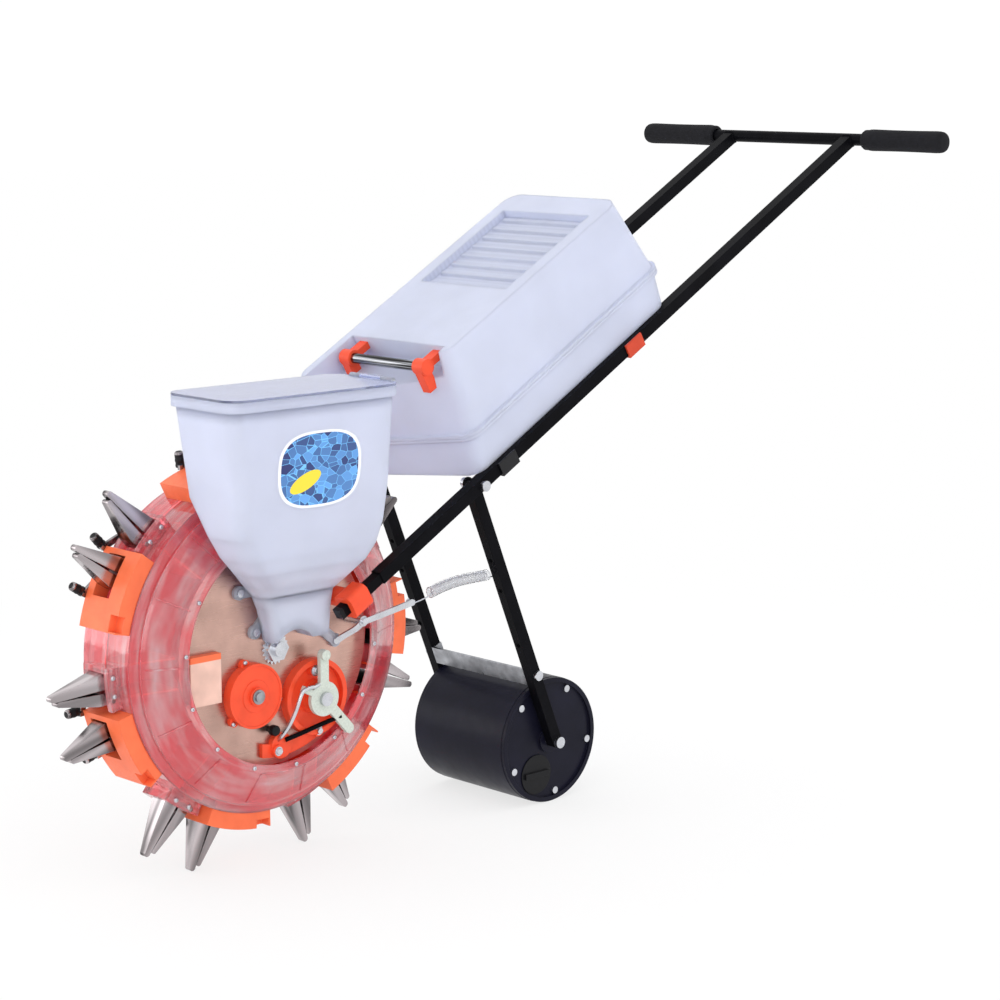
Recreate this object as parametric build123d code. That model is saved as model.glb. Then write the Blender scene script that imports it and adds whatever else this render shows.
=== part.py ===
from build123d import *
import math
import os

# Walk-behind seed planter. X points forward, Y to the operator's left, Z up, in millimetres.
# The origin is on the ground, under the middle of the overall length.

# Clearances
SLIP = 0.3            # between pieces that sit side by side or pass each other
RUN = 0.06            # radial, between a pin and what turns on it
SEAT_GAP = 0.4        # round a beak's root in its opening

# Seed wheel
STATIONS = 7
TIP_R = 304.0         # beak tips from the axle
TIP_ROUND = 4.0
BEAK_LEAD = 15.0      # degrees by which a fertilizer beak runs ahead of its seed beak
RIM_R = 217.5
RIM_HALF = 46.7       # rim edge from the wheel's middle plane
OPENING_R = 148.6     # round opening in each side cover
OPENING_Y = 79.4
STEP_R = 206.0        # step in the side cover just inside the rim
STEP_H = 4.5
COVER_WALL = 2.5
WEB_T = 4.0
FIN_T = 3.0
FIN_INNER_R = 160.0
HUB_R = 30.0
HUB_HALF = 24.0

# Beaks and their movable flaps, in the plane of the wheel
ROOT_R = 206.0        # inner end of a fixed beak
BEAK_LEADING = 18.0   # fixed beak's depth on the leading side
BEAK_TRAILING = 4.0
BEAK_ROOT_HALF = 16.5
BEAK_TIP_HALF = 5.0
SHEET = 2.0
PIVOT_R = 227.0       # flap pivot from the axle
PIVOT_SIDE = 17.0     # flap pivot behind the beak's centre line
PIVOT_PIN_R = 3.0
FLAP_TIP_R = TIP_R - 7.5
FLAP_TIP_ROUND = 3.5
FLAP_TIP_SIDE = TIP_ROUND + FLAP_TIP_ROUND + SEAT_GAP   # flap's tip just behind the fixed one
LEVER_REACH = 21.0
LEVER_RISE = 11.0
LEVER_T = 5.0
BUMPER_R = 6.0
BUMPER_H = 20.0

# Seats and bosses on the rim
BOSS_HALF = 26.0
BOSS_H = 15.0
BOSS_AHEAD = 6.2      # degrees
BOSS_BEHIND = 7.8
SEAT_NEAR = 45.0
SEAT_FAR = 30.0
SEAT_H = 22.0
SEAT_AHEAD = 6.2
SEAT_BEHIND = 19.0

# Axle and hub
AXLE_R = 10.0
BEARING_R = 21.0
BEARING_W = 12.0
PLATE_Y = 62.0        # outer face of each hub plate
PLATE_T = 2.0
PLATE_R = 152.0
NUT_AF = 30.0
NUT_H = 9.0

# Metering drive: ring gear on the wheel, pinion on each meter roller
GEAR_MODULE = 4.0
RING_TEETH = 51
PINION_TEETH = 17
GEAR_W = 8.0
RING_BACK = 12.0      # rim of the ring gear behind its tooth roots
METER_ANGLE = -53.0   # degrees, where the meters sit about the axle
METER_R = 42.0
METER_H = 14.0
METER_WALL = 3.0
METER_SHAFT_R = 6.0
METER_ROLLER_R = 31.0

# Clutch group
CLUTCH_X = -60.0      # from the axle
CLUTCH_Z = -72.0
CLUTCH_R = 50.0
CLUTCH_H = 13.0
LEVER_PIN_R = 5.0
LEVER_HUB_R = 23.0
LEVER_PLATE = 6.0
LEVER_UP = 58.0
LEVER_DOWN = 62.0
LEVER_W = 14.0
BRACKET_OUT = 142.0   # outer and inner radius of the lower bracket about the axle
BRACKET_IN = 124.0
BRACKET_H = 6.0

# Handle and tubes
BAR_LENGTH = 588.0
BAR_R = 9.0
BAR_WALL = 1.5
BAR_BACK = 1068.0     # behind the axle
BAR_HEIGHT = 909.5
GRIP_LENGTH = 146.0
GRIP_R = 16.0
TUBE_SIDE = 17.0
TUBE_WALL = 1.5
TUBE_Y = 117.0
FOOT_BACK = 66.0      # front end of the rods, behind the axle
FOOT_RISE = 46.0      # and above it
ROD_WALL = 1.5
ROD_IN_TUBE = 110.0
TUBE_START = 72.0     # along the rod from its front end
CAP_T = 6.0
CLAMP_FROM = 9.0
CLAMP_LENGTH = 32.0
CLAMP_SIDE = 32.0
CLAMP_ARM_R = 13.0

# Seed hopper, from the axle
HOPPER_WALL = 2.5
HOPPER_CORNER = 24.0
HOPPER_RISE = 340.0   # top above the axle
HOPPER_RIM_H = 13.0
HOPPER_RIM_OUT = 3.0
LID_T = 3.0
HINGE_PIN_R = 2.5
KNUCKLE_R = 5.0
KNUCKLE_L = 40.0
ARCH_R = 36.0         # arch of the neck over the axle nut
ARCH_X = -10.0
ARCH_Z = -8.0
LUG_R = 9.0
LUG_T = 5.0
SCREW_R = 3.0
COVER_GAP = 3.0       # between the hopper and the side cover's flat ring
# Each level is its height above the axle, then its limits along X and Y
HOPPER_LEVELS = [
    (HOPPER_RISE, -111.0, 156.0, 54.0, 184.0),
    (211.0, -109.0, 137.0, 56.0, 174.0),
    (166.0, -108.0, 131.0, OPENING_Y + COVER_GAP, 166.0),
    (137.0, -104.0, 113.0, OPENING_Y + COVER_GAP, 157.0),
    (116.0, -95.0, 93.0, OPENING_Y + COVER_GAP, 146.0),
    (91.0, -82.0, 60.0, PLATE_Y, 122.0),
    (73.0, -75.0, 42.0, PLATE_Y, 98.0),
    (56.0, -72.0, 34.0, PLATE_Y, 97.0),
    (14.0, -70.0, 24.0, PLATE_Y, 94.0),
]
# Each lug on the hub plate is its centre and the point in the neck that it grows from
HOPPER_LUGS = [
    ((58.0, 80.0), (20.0, 80.0)),
    ((34.0, 26.0), (10.0, 50.0)),
    ((-98.0, -4.0), (-55.0, 30.0)),
]

# Fertilizer tank, along the tubes from the rods' front end
# Each level is its rear end, its front ends on the left and the right, and its half width
TANK_FLOOR = (706.0, 284.0, 243.0, 116.0)
TANK_BRIM = (712.0, 299.0, 240.0, 119.0)
TANK_CROWN = (698.0, 331.0, 214.0, 107.0)
TANK_WALL = 3.0
TANK_LIP = 54.0       # parting line above the tubes
TANK_LIP_OUT = 4.0
TANK_LIP_T = 5.0
TANK_TOP = 171.0      # top above the tubes
TANK_CORNER = 24.0
LID_REST = 0.1        # between a lid and the edge that it rests on
PANEL_FROM = 473.0
PANEL_TO = 655.0
PANEL_HALF = 85.0
PANEL_DEPTH = 11.0
PANEL_RIBS = 8
RIB_W = 6.0
RIB_H = 4.0
CARRY_U = 304.0       # carrying handle along the tubes
CARRY_W = 167.0       # and above their axis
CARRY_R = 7.0
CARRY_HALF = 78.0
RECESS_BACK = 336.0   # rear wall of the handle's recess along the tubes
RECESS_FLOOR = 146.0
RECESS_HALF = 93.0
CHUTE_FROM = 18.0     # chute's lower end along the tubes
CHUTE_MOUTH = 34.0
CHUTE_LOW = 20.0
CHUTE_HIGH = 50.0
CHUTE_WALL = 2.0
CLIP_AT = (330.0, 610.0)
CLIP_L = 34.0
CLIP_T = 3.0

# Press roller and its arms
ROLLER_BACK = 466.0
ROLLER_R = 89.0
ROLLER_HALF = 92.0
ROLLER_WALL = 2.5
CAP_DISC_T = 6.0
CAP_RIM_H = 4.0
ROLLER_AXLE_R = 8.0
BOSS_R = 18.0         # bearing boss in each end cap
ARM_T = 2.5
ARM_W = 17.0          # channel arm along the machine
ARM_D = 15.0          # and across it
PIVOT_U = 278.0       # arm pivot along the tubes
PIVOT_DROP = 2.0      # and below their axis
PIVOT_BOLT_R = 4.0
ARM_HOLE_R = 3.5
ARM_HOLES = (115.0, 163.0, 251.0)
SCRAPER_W = 26.0
SCRAPER_T = 3.0
SCRAPER_BOLT_R = 3.0
SCRAPER_BOLT_X = -1.0
PLUG_R = 28.0
PLUG_OFFSET = 52.0
PLUG_ANGLE = -63.0
PLUG_T = 2.6
CAP_SCREWS = 5
CAP_SCREW_R = 5.0

# Pull spring between the hub bracket and the left arm
STAY_T = 3.0
STAY_Y = 96.0
STAY_W = 8.0
STAY_END_X = -205.0   # from the axle
STAY_END_Z = 35.0
STAY_FOOT_X = -122.0
STAY_FOOT_Z = 22.0
SPRING_WIRE_R = 0.9
SPRING_R = 5.2
SPRING_TURNS = 27
SPRING_COIL_FROM = 43.0   # along the spring from its front hook
SPRING_COIL_L = 94.0
STUD_R = 3.0
SPRING_ON_ARM = 140.0     # spring stud on the left arm below the pivot
SLEEVE_R = 7.7
SLEEVE_WALL = 1.2

# Placement that follows from the sizes above
PITCH = 360.0 / STATIONS
STANCE = math.radians((PITCH - BEAK_LEAD) / 2)
AXLE_Z = (TIP_R - TIP_ROUND) * math.cos(STANCE) + TIP_ROUND
PHASE = -90.0 + (5 * PITCH + BEAK_LEAD) / 2
SEED_ANGLES = [PHASE - k * PITCH for k in range(STATIONS)]
FERT_ANGLES = [a - BEAK_LEAD for a in SEED_ANGLES]
FRONT_REACH = TIP_ROUND + (TIP_R - TIP_ROUND) * max(
    math.cos(math.radians(a)) for a in SEED_ANGLES + FERT_ANGLES
)
REAR_REACH = BAR_BACK + GRIP_R
AXLE_X = (REAR_REACH - FRONT_REACH) / 2
FOOT_HEIGHT = AXLE_Z + FOOT_RISE
TILT = math.degrees(math.atan2(BAR_HEIGHT - FOOT_HEIGHT, BAR_BACK - FOOT_BACK))
TUBE_LENGTH = math.hypot(BAR_HEIGHT - FOOT_HEIGHT, BAR_BACK - FOOT_BACK)
ROD_SIDE = TUBE_SIDE - 2 * TUBE_WALL
DECK = TUBE_SIDE / 2
AXLE = Pos(AXLE_X, 0, AXLE_Z)
TUBES = Pos(AXLE_X - FOOT_BACK, 0, FOOT_HEIGHT) * Rot(0, TILT, 0)
HOPPER_TOP = AXLE_Z + HOPPER_RISE
HOPPER_X0, HOPPER_X1, HOPPER_Y0, HOPPER_Y1 = HOPPER_LEVELS[0][1:]
HOPPER_MID = (HOPPER_Y0 + HOPPER_Y1) / 2
GEAR_CENTRES = GEAR_MODULE * (RING_TEETH - PINION_TEETH) / 2
ARM_Y = TUBE_Y - TUBE_SIDE / 2 - SLIP   # outer face of each arm
ARM_IN = ARM_Y - ARM_D


def block(x0, x1, y0, y1, z0, z1):
    """Box between two corners."""
    return Pos((x0 + x1) / 2, (y0 + y1) / 2, (z0 + z1) / 2) * Box(x1 - x0, y1 - y0, z1 - z0)


def rod_y(radius, y0, y1, x=0.0, z=0.0):
    """Round bar along Y."""
    return Pos(x, (y0 + y1) / 2, z) * Rot(90, 0, 0) * Cylinder(radius, y1 - y0)


def ring_y(outer, inner, y0, y1, x=0.0, z=0.0):
    """Tube along Y."""
    return rod_y(outer, y0, y1, x, z) - rod_y(inner, y0 - 1, y1 + 1, x, z)


def plate_y(points, y0, y1):
    """Outline in the XZ plane given thickness along Y."""
    face = Plane.XZ * Polygon(*points, align=None)
    return Pos(0, y0, 0) * extrude(face, y1 - y0, dir=(0, 1, 0))


def turned(points):
    """Outline of (radius, y) points turned about the Y axis."""
    return revolve(Polygon(*points, align=None), Axis.Y)


def mirror_y(shape):
    """The same piece on the other side of the middle plane."""
    return mirror(shape, Plane.XZ)


def hex_nut(across, height, y0, bore):
    """Hexagon nut along Y from y0 outwards."""
    body = extrude(Plane.XZ.offset(-y0) * RegularPolygon(across / math.sqrt(3), 6), -height)
    return body - rod_y(bore, y0 - 1, y0 + height + 1)


def bolt_y(radius, head, y_head, y_tip, height, x=0.0, z=0.0):
    """Bolt along Y: shank from the tip to the head's seat, round head standing outwards."""
    way = 1 if y_head > y_tip else -1
    ends = sorted((y_tip, y_head))
    crown = sorted((y_head, y_head + way * height))
    return rod_y(radius, *ends, x, z) + rod_y(head, *crown, x, z)


def section(x0, x1, y0, y1, z, corner):
    """Rounded rectangle at height z."""
    face = RectangleRounded(x1 - x0, y1 - y0, corner)
    return Pos((x0 + x1) / 2, (y0 + y1) / 2, z) * face


def station(angle):
    """Frame on the wheel: X outwards at the angle, Z towards growing angles."""
    return AXLE * Rot(0, -angle, 0)


def rim_sector(inner, outer, behind, ahead, y0, y1):
    """Piece of a thick ring about the axle, between two angles from the station's X axis."""
    def point(radius, angle):
        return (radius * math.cos(math.radians(angle)), radius * math.sin(math.radians(angle)))

    middle = (ahead - behind) / 2
    outline = [
        Line(point(inner, -behind), point(outer, -behind)),
        ThreePointArc(point(outer, -behind), point(outer, middle), point(outer, ahead)),
        Line(point(outer, ahead), point(inner, ahead)),
        ThreePointArc(point(inner, ahead), point(inner, middle), point(inner, -behind)),
    ]
    return Pos(0, y0, 0) * extrude(Plane.XZ * make_face(outline), y1 - y0, dir=(0, 1, 0))


def taper_y(root_half, tip_half):
    """Wedge that narrows a beak in Y from its root to its tip."""
    outline = [(ROOT_R - 5, root_half), (TIP_R, tip_half), (TIP_R, -tip_half), (ROOT_R - 5, -root_half)]
    return extrude(Polygon(*outline, align=None), TIP_R / 2, both=True)


def fixed_beak():
    """Leading half of a beak: a folded trough, open on the trailing side."""
    tip = TIP_R - TIP_ROUND
    outline = Polygon(
        (ROOT_R, -BEAK_TRAILING),
        (ROOT_R, BEAK_LEADING),
        (PIVOT_R, BEAK_LEADING),
        (tip, TIP_ROUND),
        (tip, -TIP_ROUND),
        align=None,
    ) + Pos(tip, 0) * Circle(TIP_ROUND)
    hollow_end = tip - 3 * TIP_ROUND
    hollow = Polygon(
        (ROOT_R - 1, -BEAK_LEADING),
        (ROOT_R - 1, BEAK_LEADING - SHEET),
        (PIVOT_R, BEAK_LEADING - SHEET),
        (hollow_end, TIP_ROUND - SHEET / 2),
        (hollow_end, -BEAK_LEADING),
        align=None,
    )
    reach = BEAK_ROOT_HALF + 10
    body = extrude(Plane.XZ * outline, reach, both=True) & taper_y(BEAK_ROOT_HALF, BEAK_TIP_HALF)
    inside = extrude(Plane.XZ * hollow, reach, both=True)
    return body - (inside & taper_y(BEAK_ROOT_HALF - SHEET, BEAK_TIP_HALF - SHEET))


def flap():
    """Trailing half of a beak with its pivot pin, lever and bumper."""
    tip = FLAP_TIP_R - FLAP_TIP_ROUND
    back = PIVOT_SIDE + PIVOT_PIN_R + SHEET * 2
    front = BEAK_TRAILING + 2 * SHEET
    eye = PIVOT_PIN_R + SHEET / 2
    outline = Polygon(
        (PIVOT_R - eye, -back),
        (PIVOT_R - eye, -front),
        (PIVOT_R + 4 * PIVOT_PIN_R, -front),
        (tip, -FLAP_TIP_SIDE + FLAP_TIP_ROUND),
        (tip, -FLAP_TIP_SIDE - FLAP_TIP_ROUND),
        (PIVOT_R + 4 * PIVOT_PIN_R, -back),
        align=None,
    ) + Pos(tip, -FLAP_TIP_SIDE) * Circle(FLAP_TIP_ROUND)
    hollow = Polygon(
        (PIVOT_R + 3 * PIVOT_PIN_R, -back + SHEET),
        (PIVOT_R + 3 * PIVOT_PIN_R, 0),
        (tip - 4 * FLAP_TIP_ROUND, 0),
        (tip - 4 * FLAP_TIP_ROUND, -FLAP_TIP_SIDE - FLAP_TIP_ROUND + SHEET),
        align=None,
    )
    reach = BEAK_ROOT_HALF + 10
    blade = extrude(Plane.XZ * outline, reach, both=True) & taper_y(BEAK_ROOT_HALF, BEAK_TIP_HALF)
    inside = extrude(Plane.XZ * hollow, reach, both=True)
    blade -= inside & taper_y(BEAK_ROOT_HALF - SHEET, BEAK_TIP_HALF - SHEET)
    lever_y = -SEAT_FAR - SLIP - LEVER_T
    pin = rod_y(PIVOT_PIN_R, lever_y, BOSS_HALF, PIVOT_R, -PIVOT_SIDE)
    elbow = (PIVOT_R + LEVER_RISE, -PIVOT_SIDE - LEVER_REACH)
    lever = plate_y(
        [
            (PIVOT_R - eye, -PIVOT_SIDE + eye),
            (PIVOT_R + eye, -PIVOT_SIDE + eye),
            (elbow[0] + PIVOT_PIN_R, elbow[1]),
            (elbow[0] + PIVOT_PIN_R, elbow[1] - BUMPER_R),
            (elbow[0] - PIVOT_PIN_R, elbow[1] - BUMPER_R),
        ],
        lever_y,
        lever_y + LEVER_T,
    )
    bumper_y = -SEAT_FAR - 2 * SLIP - BUMPER_R
    bumper = Pos(elbow[0], bumper_y, elbow[1]) * Rot(0, 90, 0) * Cylinder(
        BUMPER_R, BUMPER_H, align=(Align.CENTER, Align.CENTER, Align.MIN)
    )
    bumper = fillet(bumper.edges().sort_by(Axis.X)[-1], BUMPER_R / 2)
    return blade + pin + lever + bumper


def beak_slot():
    """Space that a beak and its flap need in the seat or boss that carries them."""
    half = BEAK_ROOT_HALF + SEAT_GAP
    back = PIVOT_SIDE + LEVER_REACH
    pass_through = block(ROOT_R - 10, TIP_R, -half, half, -back, BEAK_LEADING)
    pin_hole = rod_y(PIVOT_PIN_R + RUN, -SEAT_NEAR - 1, BOSS_HALF + SLIP, PIVOT_R, -PIVOT_SIDE)
    return pass_through + pin_hole


def boss():
    """Clear saddle on the rim that holds a seed beak."""
    return rim_sector(RIM_R, RIM_R + BOSS_H, BOSS_BEHIND, BOSS_AHEAD, -BOSS_HALF, BOSS_HALF) - beak_slot()


def seat():
    """Long block on the rim that holds a fertilizer beak."""
    outer = RIM_R + SEAT_H
    body = rim_sector(RIM_R, outer, SEAT_BEHIND, SEAT_AHEAD, -SEAT_FAR, SEAT_NEAR)
    behind = (SEAT_BEHIND + BOSS_BEHIND + SEAT_AHEAD) / 2
    relief = rim_sector(RIM_R + SEAT_H / 2, outer + 1, behind + 2, 3 - behind, SEAT_FAR, SEAT_NEAR + 1)
    return body - beak_slot() - relief


def beak_notches(y0, y1):
    """Openings in the rim and the web where the beaks' roots pass through."""
    half = BEAK_ROOT_HALF + SEAT_GAP
    notch = block(
        ROOT_R - SEAT_GAP,
        RIM_R + 5,
        max(y0, -half),
        min(y1, half),
        -BEAK_TRAILING - SEAT_GAP,
        BEAK_LEADING + SEAT_GAP,
    )
    return [station(a) * notch for a in SEED_ANGLES + FERT_ANGLES]


def side_cover():
    """Clear dished cover on the left, from the round opening to the middle of the rim."""
    wall = COVER_WALL
    flat = 11.0
    outside = [
        (OPENING_R, OPENING_Y),
        (OPENING_R + flat, OPENING_Y),
        (STEP_R - STEP_H, RIM_HALF + 2 * STEP_H + 3),
        (STEP_R, RIM_HALF + 2 * STEP_H),
        (STEP_R, RIM_HALF + STEP_H),
        (RIM_R, RIM_HALF),
        (RIM_R, WEB_T / 2),
    ]
    inside = [
        (RIM_R - wall, WEB_T / 2),
        (RIM_R - wall, RIM_HALF - wall * 0.7),
        (STEP_R - wall, RIM_HALF + STEP_H - wall * 0.7),
        (STEP_R - wall, RIM_HALF + 2 * STEP_H - wall * 0.5),
        (STEP_R - STEP_H - wall * 0.7, RIM_HALF + 2 * STEP_H + 3 - wall),
        (OPENING_R + flat - wall * 0.3, OPENING_Y - wall),
        (OPENING_R, OPENING_Y - wall),
    ]
    return AXLE * turned(outside + inside) - beak_notches(WEB_T / 2 - 1, RIM_HALF)


def drum_web():
    """Disc between the covers with the bearing hub and the fins that guide the seed to the beaks."""
    disc = rod_y(RIM_R, -WEB_T / 2, WEB_T / 2)
    hub = rod_y(HUB_R, -HUB_HALF, HUB_HALF)
    seat_depth = HUB_HALF - BEARING_W
    bores = rod_y(AXLE_R + 3, -HUB_HALF - 1, HUB_HALF + 1)
    bores += rod_y(BEARING_R, seat_depth, HUB_HALF + 1) + rod_y(BEARING_R, -HUB_HALF - 1, -seat_depth)
    body = AXLE * (disc + hub - bores)
    inner = RIM_R - COVER_WALL - 10 * SLIP
    outline = [
        (FIN_INNER_R, 0),
        (FIN_INNER_R, OPENING_Y - 4 * COVER_WALL),
        (STEP_R - STEP_H - 2 * COVER_WALL, RIM_HALF + STEP_H),
        (STEP_R - 2 * COVER_WALL, RIM_HALF - COVER_WALL),
        (inner, RIM_HALF - 2 * COVER_WALL),
        (inner, 0),
    ]
    for angles, way in ((SEED_ANGLES, 1), (FERT_ANGLES, -1)):
        for angle in angles:
            for side in (-BEAK_TRAILING - FIN_T - 6, BEAK_LEADING + FIN_T + 6):
                points = [(r, way * y) for r, y in outline]
                fin = Pos(0, 0, side) * extrude(Polygon(*points, align=None), FIN_T, dir=(0, 0, 1))
                body += station(angle) * fin
    return body - beak_notches(-WEB_T, WEB_T)


def gear_outline(teeth, half_share, tip, root, turn):
    """Straight-sided gear outline: each tooth is four points about its centre line."""
    step = 360.0 / teeth
    points = []
    for k in range(teeth):
        centre = turn + k * step
        for radius, share in ((root, -1.35), (tip, -0.6), (tip, 0.6), (root, 1.35)):
            angle = math.radians(centre + share * half_share * step)
            points.append((radius * math.cos(angle), radius * math.sin(angle)))
    return points


def ring_gear():
    """Inner-toothed ring on the left face of the web, in mesh with the meter pinion."""
    pitch_r = GEAR_MODULE * RING_TEETH / 2
    space = gear_outline(RING_TEETH, 0.29, pitch_r + GEAR_MODULE, pitch_r - 0.75 * GEAR_MODULE, METER_ANGLE)
    y0 = WEB_T / 2
    y1 = y0 + GEAR_W + SLIP
    blank = rod_y(pitch_r + GEAR_MODULE + RING_BACK, y0, y1)
    return AXLE * (blank - plate_y(space, y0 - 1, y1 + 1))


METER = AXLE * Pos(
    GEAR_CENTRES * math.cos(math.radians(METER_ANGLE)), 0, GEAR_CENTRES * math.sin(math.radians(METER_ANGLE))
)


def meter_roller():
    """Left meter roller: shaft, pinion behind the hub plate and celled roller in the housing."""
    pitch_r = GEAR_MODULE * PINION_TEETH / 2
    tooth = gear_outline(PINION_TEETH, 0.21, pitch_r + 0.7 * GEAR_MODULE, pitch_r - GEAR_MODULE, METER_ANGLE)
    y0 = WEB_T / 2 + SLIP
    pinion = plate_y(tooth, y0 + SLIP, y0 + GEAR_W)
    shaft = rod_y(METER_SHAFT_R, y0 + SLIP, PLATE_Y + METER_H + 8)
    roller_from = PLATE_Y + 2 * SLIP
    roller = rod_y(METER_ROLLER_R, roller_from, PLATE_Y + METER_H - METER_WALL - SLIP)
    cells = 8
    for k in range(cells):
        angle = 2 * math.pi * k / cells
        cell = rod_y(4, roller_from - 1, PLATE_Y + METER_H)
        roller -= Pos(METER_ROLLER_R * math.cos(angle), 0, METER_ROLLER_R * math.sin(angle)) * cell
    return METER * (pinion + shaft + roller)


def meter_housing():
    """Round cover of the left meter with three screw ears."""
    body = rod_y(METER_R, PLATE_Y, PLATE_Y + METER_H)
    for angle in (75, 195, 315):
        x = METER_R * math.cos(math.radians(angle))
        z = METER_R * math.sin(math.radians(angle))
        body += rod_y(7, PLATE_Y, PLATE_Y + 6, x, z)
    body += rod_y(METER_SHAFT_R + 6, PLATE_Y + METER_H, PLATE_Y + METER_H + 4)
    body -= rod_y(METER_R - METER_WALL - 4, PLATE_Y - 1, PLATE_Y + METER_H - METER_WALL)
    face = PLATE_Y + METER_H - METER_WALL / 3
    body -= ring_y(METER_R - METER_WALL, METER_R / 2, face, face + METER_WALL)
    return METER * (body - rod_y(METER_SHAFT_R + RUN, PLATE_Y, PLATE_Y + METER_H + 10))


def seed_window():
    """Passage from the hopper's neck through the left hub plate."""
    return AXLE * block(-45, 5, PLATE_Y - PLATE_T - 1, PLATE_Y + 2 * HOPPER_WALL, 48, 78)


def hub_plate():
    """Left hub plate without its passage: stands still behind the cover's opening."""
    body = rod_y(PLATE_R, PLATE_Y - PLATE_T, PLATE_Y)
    body -= rod_y(AXLE_R + SLIP / 2, 0, PLATE_Y + 1)
    shaft_hole = METER * rod_y(METER_SHAFT_R + SLIP, 0, PLATE_Y + 1)
    return AXLE * body - shaft_hole


def hub_plates():
    """Left plate with the seed passage and right plate with the chute's passage."""
    return Compound([hub_plate() - seed_window(), mirror_y(hub_plate()) - TUBES * chute_elbow(CHUTE_WALL)])


def axle():
    """Shaft across both hub plates."""
    return AXLE * rod_y(AXLE_R, -PLATE_Y - NUT_H - 6, PLATE_Y + NUT_H + 6)


def axle_hardware():
    """Tubes on the axle between the bearings and the hub plates, and nuts outside the plates."""
    spacer = ring_y(AXLE_R + 5, AXLE_R, HUB_HALF + SLIP, PLATE_Y - PLATE_T)
    nut = hex_nut(NUT_AF, NUT_H, PLATE_Y, AXLE_R)
    return Compound([AXLE * p for p in (spacer, mirror_y(spacer), nut, mirror_y(nut))])


def drum_bearings():
    """Ball bearings in the hub, each as one ring."""
    inner_y = HUB_HALF - BEARING_W
    ring = ring_y(BEARING_R - RUN, AXLE_R + RUN, inner_y, HUB_HALF)
    return Compound([AXLE * ring, AXLE * mirror_y(ring)])


CLUTCH = AXLE * Pos(CLUTCH_X, 0, CLUTCH_Z)
LEVER_Y = PLATE_Y + CLUTCH_H + 9


def clutch_housing():
    """Dished disc on the left hub plate with the lever's post."""
    body = rod_y(CLUTCH_R, PLATE_Y, PLATE_Y + CLUTCH_H)
    body -= ring_y(CLUTCH_R - 7, LEVER_HUB_R, PLATE_Y + 5, PLATE_Y + CLUTCH_H + 1)
    body += rod_y(LEVER_HUB_R - 4, PLATE_Y + CLUTCH_H, LEVER_Y - SLIP)
    body += rod_y(7, PLATE_Y, PLATE_Y + CLUTCH_H + 3, 5, CLUTCH_R - 14)
    pin_hole = rod_y(LEVER_PIN_R - RUN, PLATE_Y + 5, LEVER_Y + 1)
    away = METER * rod_y(METER_R + 9, PLATE_Y - 1, PLATE_Y + CLUTCH_H + 10)
    return CLUTCH * (body - pin_hole) - away


def clutch_lever():
    """Grey lever: round hub, upright finger arm and lower arm with the rod eye."""
    y1 = LEVER_Y + LEVER_PLATE
    body = rod_y(LEVER_HUB_R, LEVER_Y, y1)
    body += block(-LEVER_W / 2, LEVER_W / 2, LEVER_Y, y1, 0, LEVER_UP)
    body += rod_y(LEVER_W / 2, LEVER_Y, y1 + 4, 0, LEVER_UP)
    lower = block(-LEVER_W / 2, LEVER_W / 2, LEVER_Y, y1, -LEVER_DOWN, 0)
    lower += rod_y(LEVER_W / 2, LEVER_Y, y1, 0, -LEVER_DOWN)
    body += Rot(0, 42, 0) * lower
    hook = block(-LEVER_W / 2 + 3, LEVER_W / 2 - 3, LEVER_Y, y1, 0, LEVER_HUB_R + 16)
    body += Rot(0, 62, 0) * hook
    return CLUTCH * (body - rod_y(LEVER_PIN_R + RUN, LEVER_Y - 1, y1 + 5))


def lever_bolt():
    """Shouldered bolt that the clutch lever turns on."""
    y1 = LEVER_Y + LEVER_PLATE
    return CLUTCH * bolt_y(LEVER_PIN_R - RUN, 9, y1 + SLIP, PLATE_Y + 5, 5)


def lower_bracket():
    """Curved strip along the foot of the hub plate, with a round lobe and two eyes."""
    top = PLATE_Y + BRACKET_H
    middle = (BRACKET_OUT + BRACKET_IN) / 2
    body = ring_y(BRACKET_OUT, BRACKET_IN, PLATE_Y, top)
    body &= block(-0.78 * middle, 0.2 * middle, PLATE_Y, top, -BRACKET_OUT, -BRACKET_IN / 2)
    body += rod_y(17, PLATE_Y, top + 2, -4, -128)
    for angle in (-88, -118):
        x = middle * math.cos(math.radians(angle))
        z = middle * math.sin(math.radians(angle))
        body += rod_y(8, PLATE_Y, PLATE_Y + 2 * BRACKET_H, x, z)
    away = CLUTCH * rod_y(CLUTCH_R + 2 * SLIP, PLATE_Y - 1, PLATE_Y + CLUTCH_H + 10)
    return AXLE * body - away


def seed_scoop():
    """Open box on the front of the hub plate that turns the seed outwards."""
    deep = 10.0
    outer = block(93, 141, PLATE_Y, PLATE_Y + deep, -54, 10)
    return AXLE * (outer - block(96, 142, PLATE_Y - 1, PLATE_Y + deep - 2.5, -51, 7))


def tube(side):
    """Long square tube, cut to the round of the handlebar at its upper end."""
    y = side * TUBE_Y
    half = TUBE_SIDE / 2
    hollow = half - TUBE_WALL
    body = block(-TUBE_LENGTH, -TUBE_START, y - half, y + half, -half, half)
    body -= block(-TUBE_LENGTH - 1, -TUBE_START + 1, y - hollow, y + hollow, -hollow, hollow)
    body -= rod_y(BAR_R, y - TUBE_SIDE, y + TUBE_SIDE, -TUBE_LENGTH)
    body -= rod_y(PIVOT_BOLT_R + SLIP / 2, y - TUBE_SIDE, y + TUBE_SIDE, -PIVOT_U, -PIVOT_DROP)
    return TUBES * body


def front_rod(side):
    """Thinner tube that slides in the long tube and ends in the clamp."""
    y = side * TUBE_Y
    half = ROD_SIDE / 2
    hollow = half - ROD_WALL
    back = TUBE_START + ROD_IN_TUBE
    body = block(-back, 0, y - half, y + half, -half, half)
    return TUBES * (body - block(-back - 1, 1, y - hollow, y + hollow, -hollow, hollow))


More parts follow.
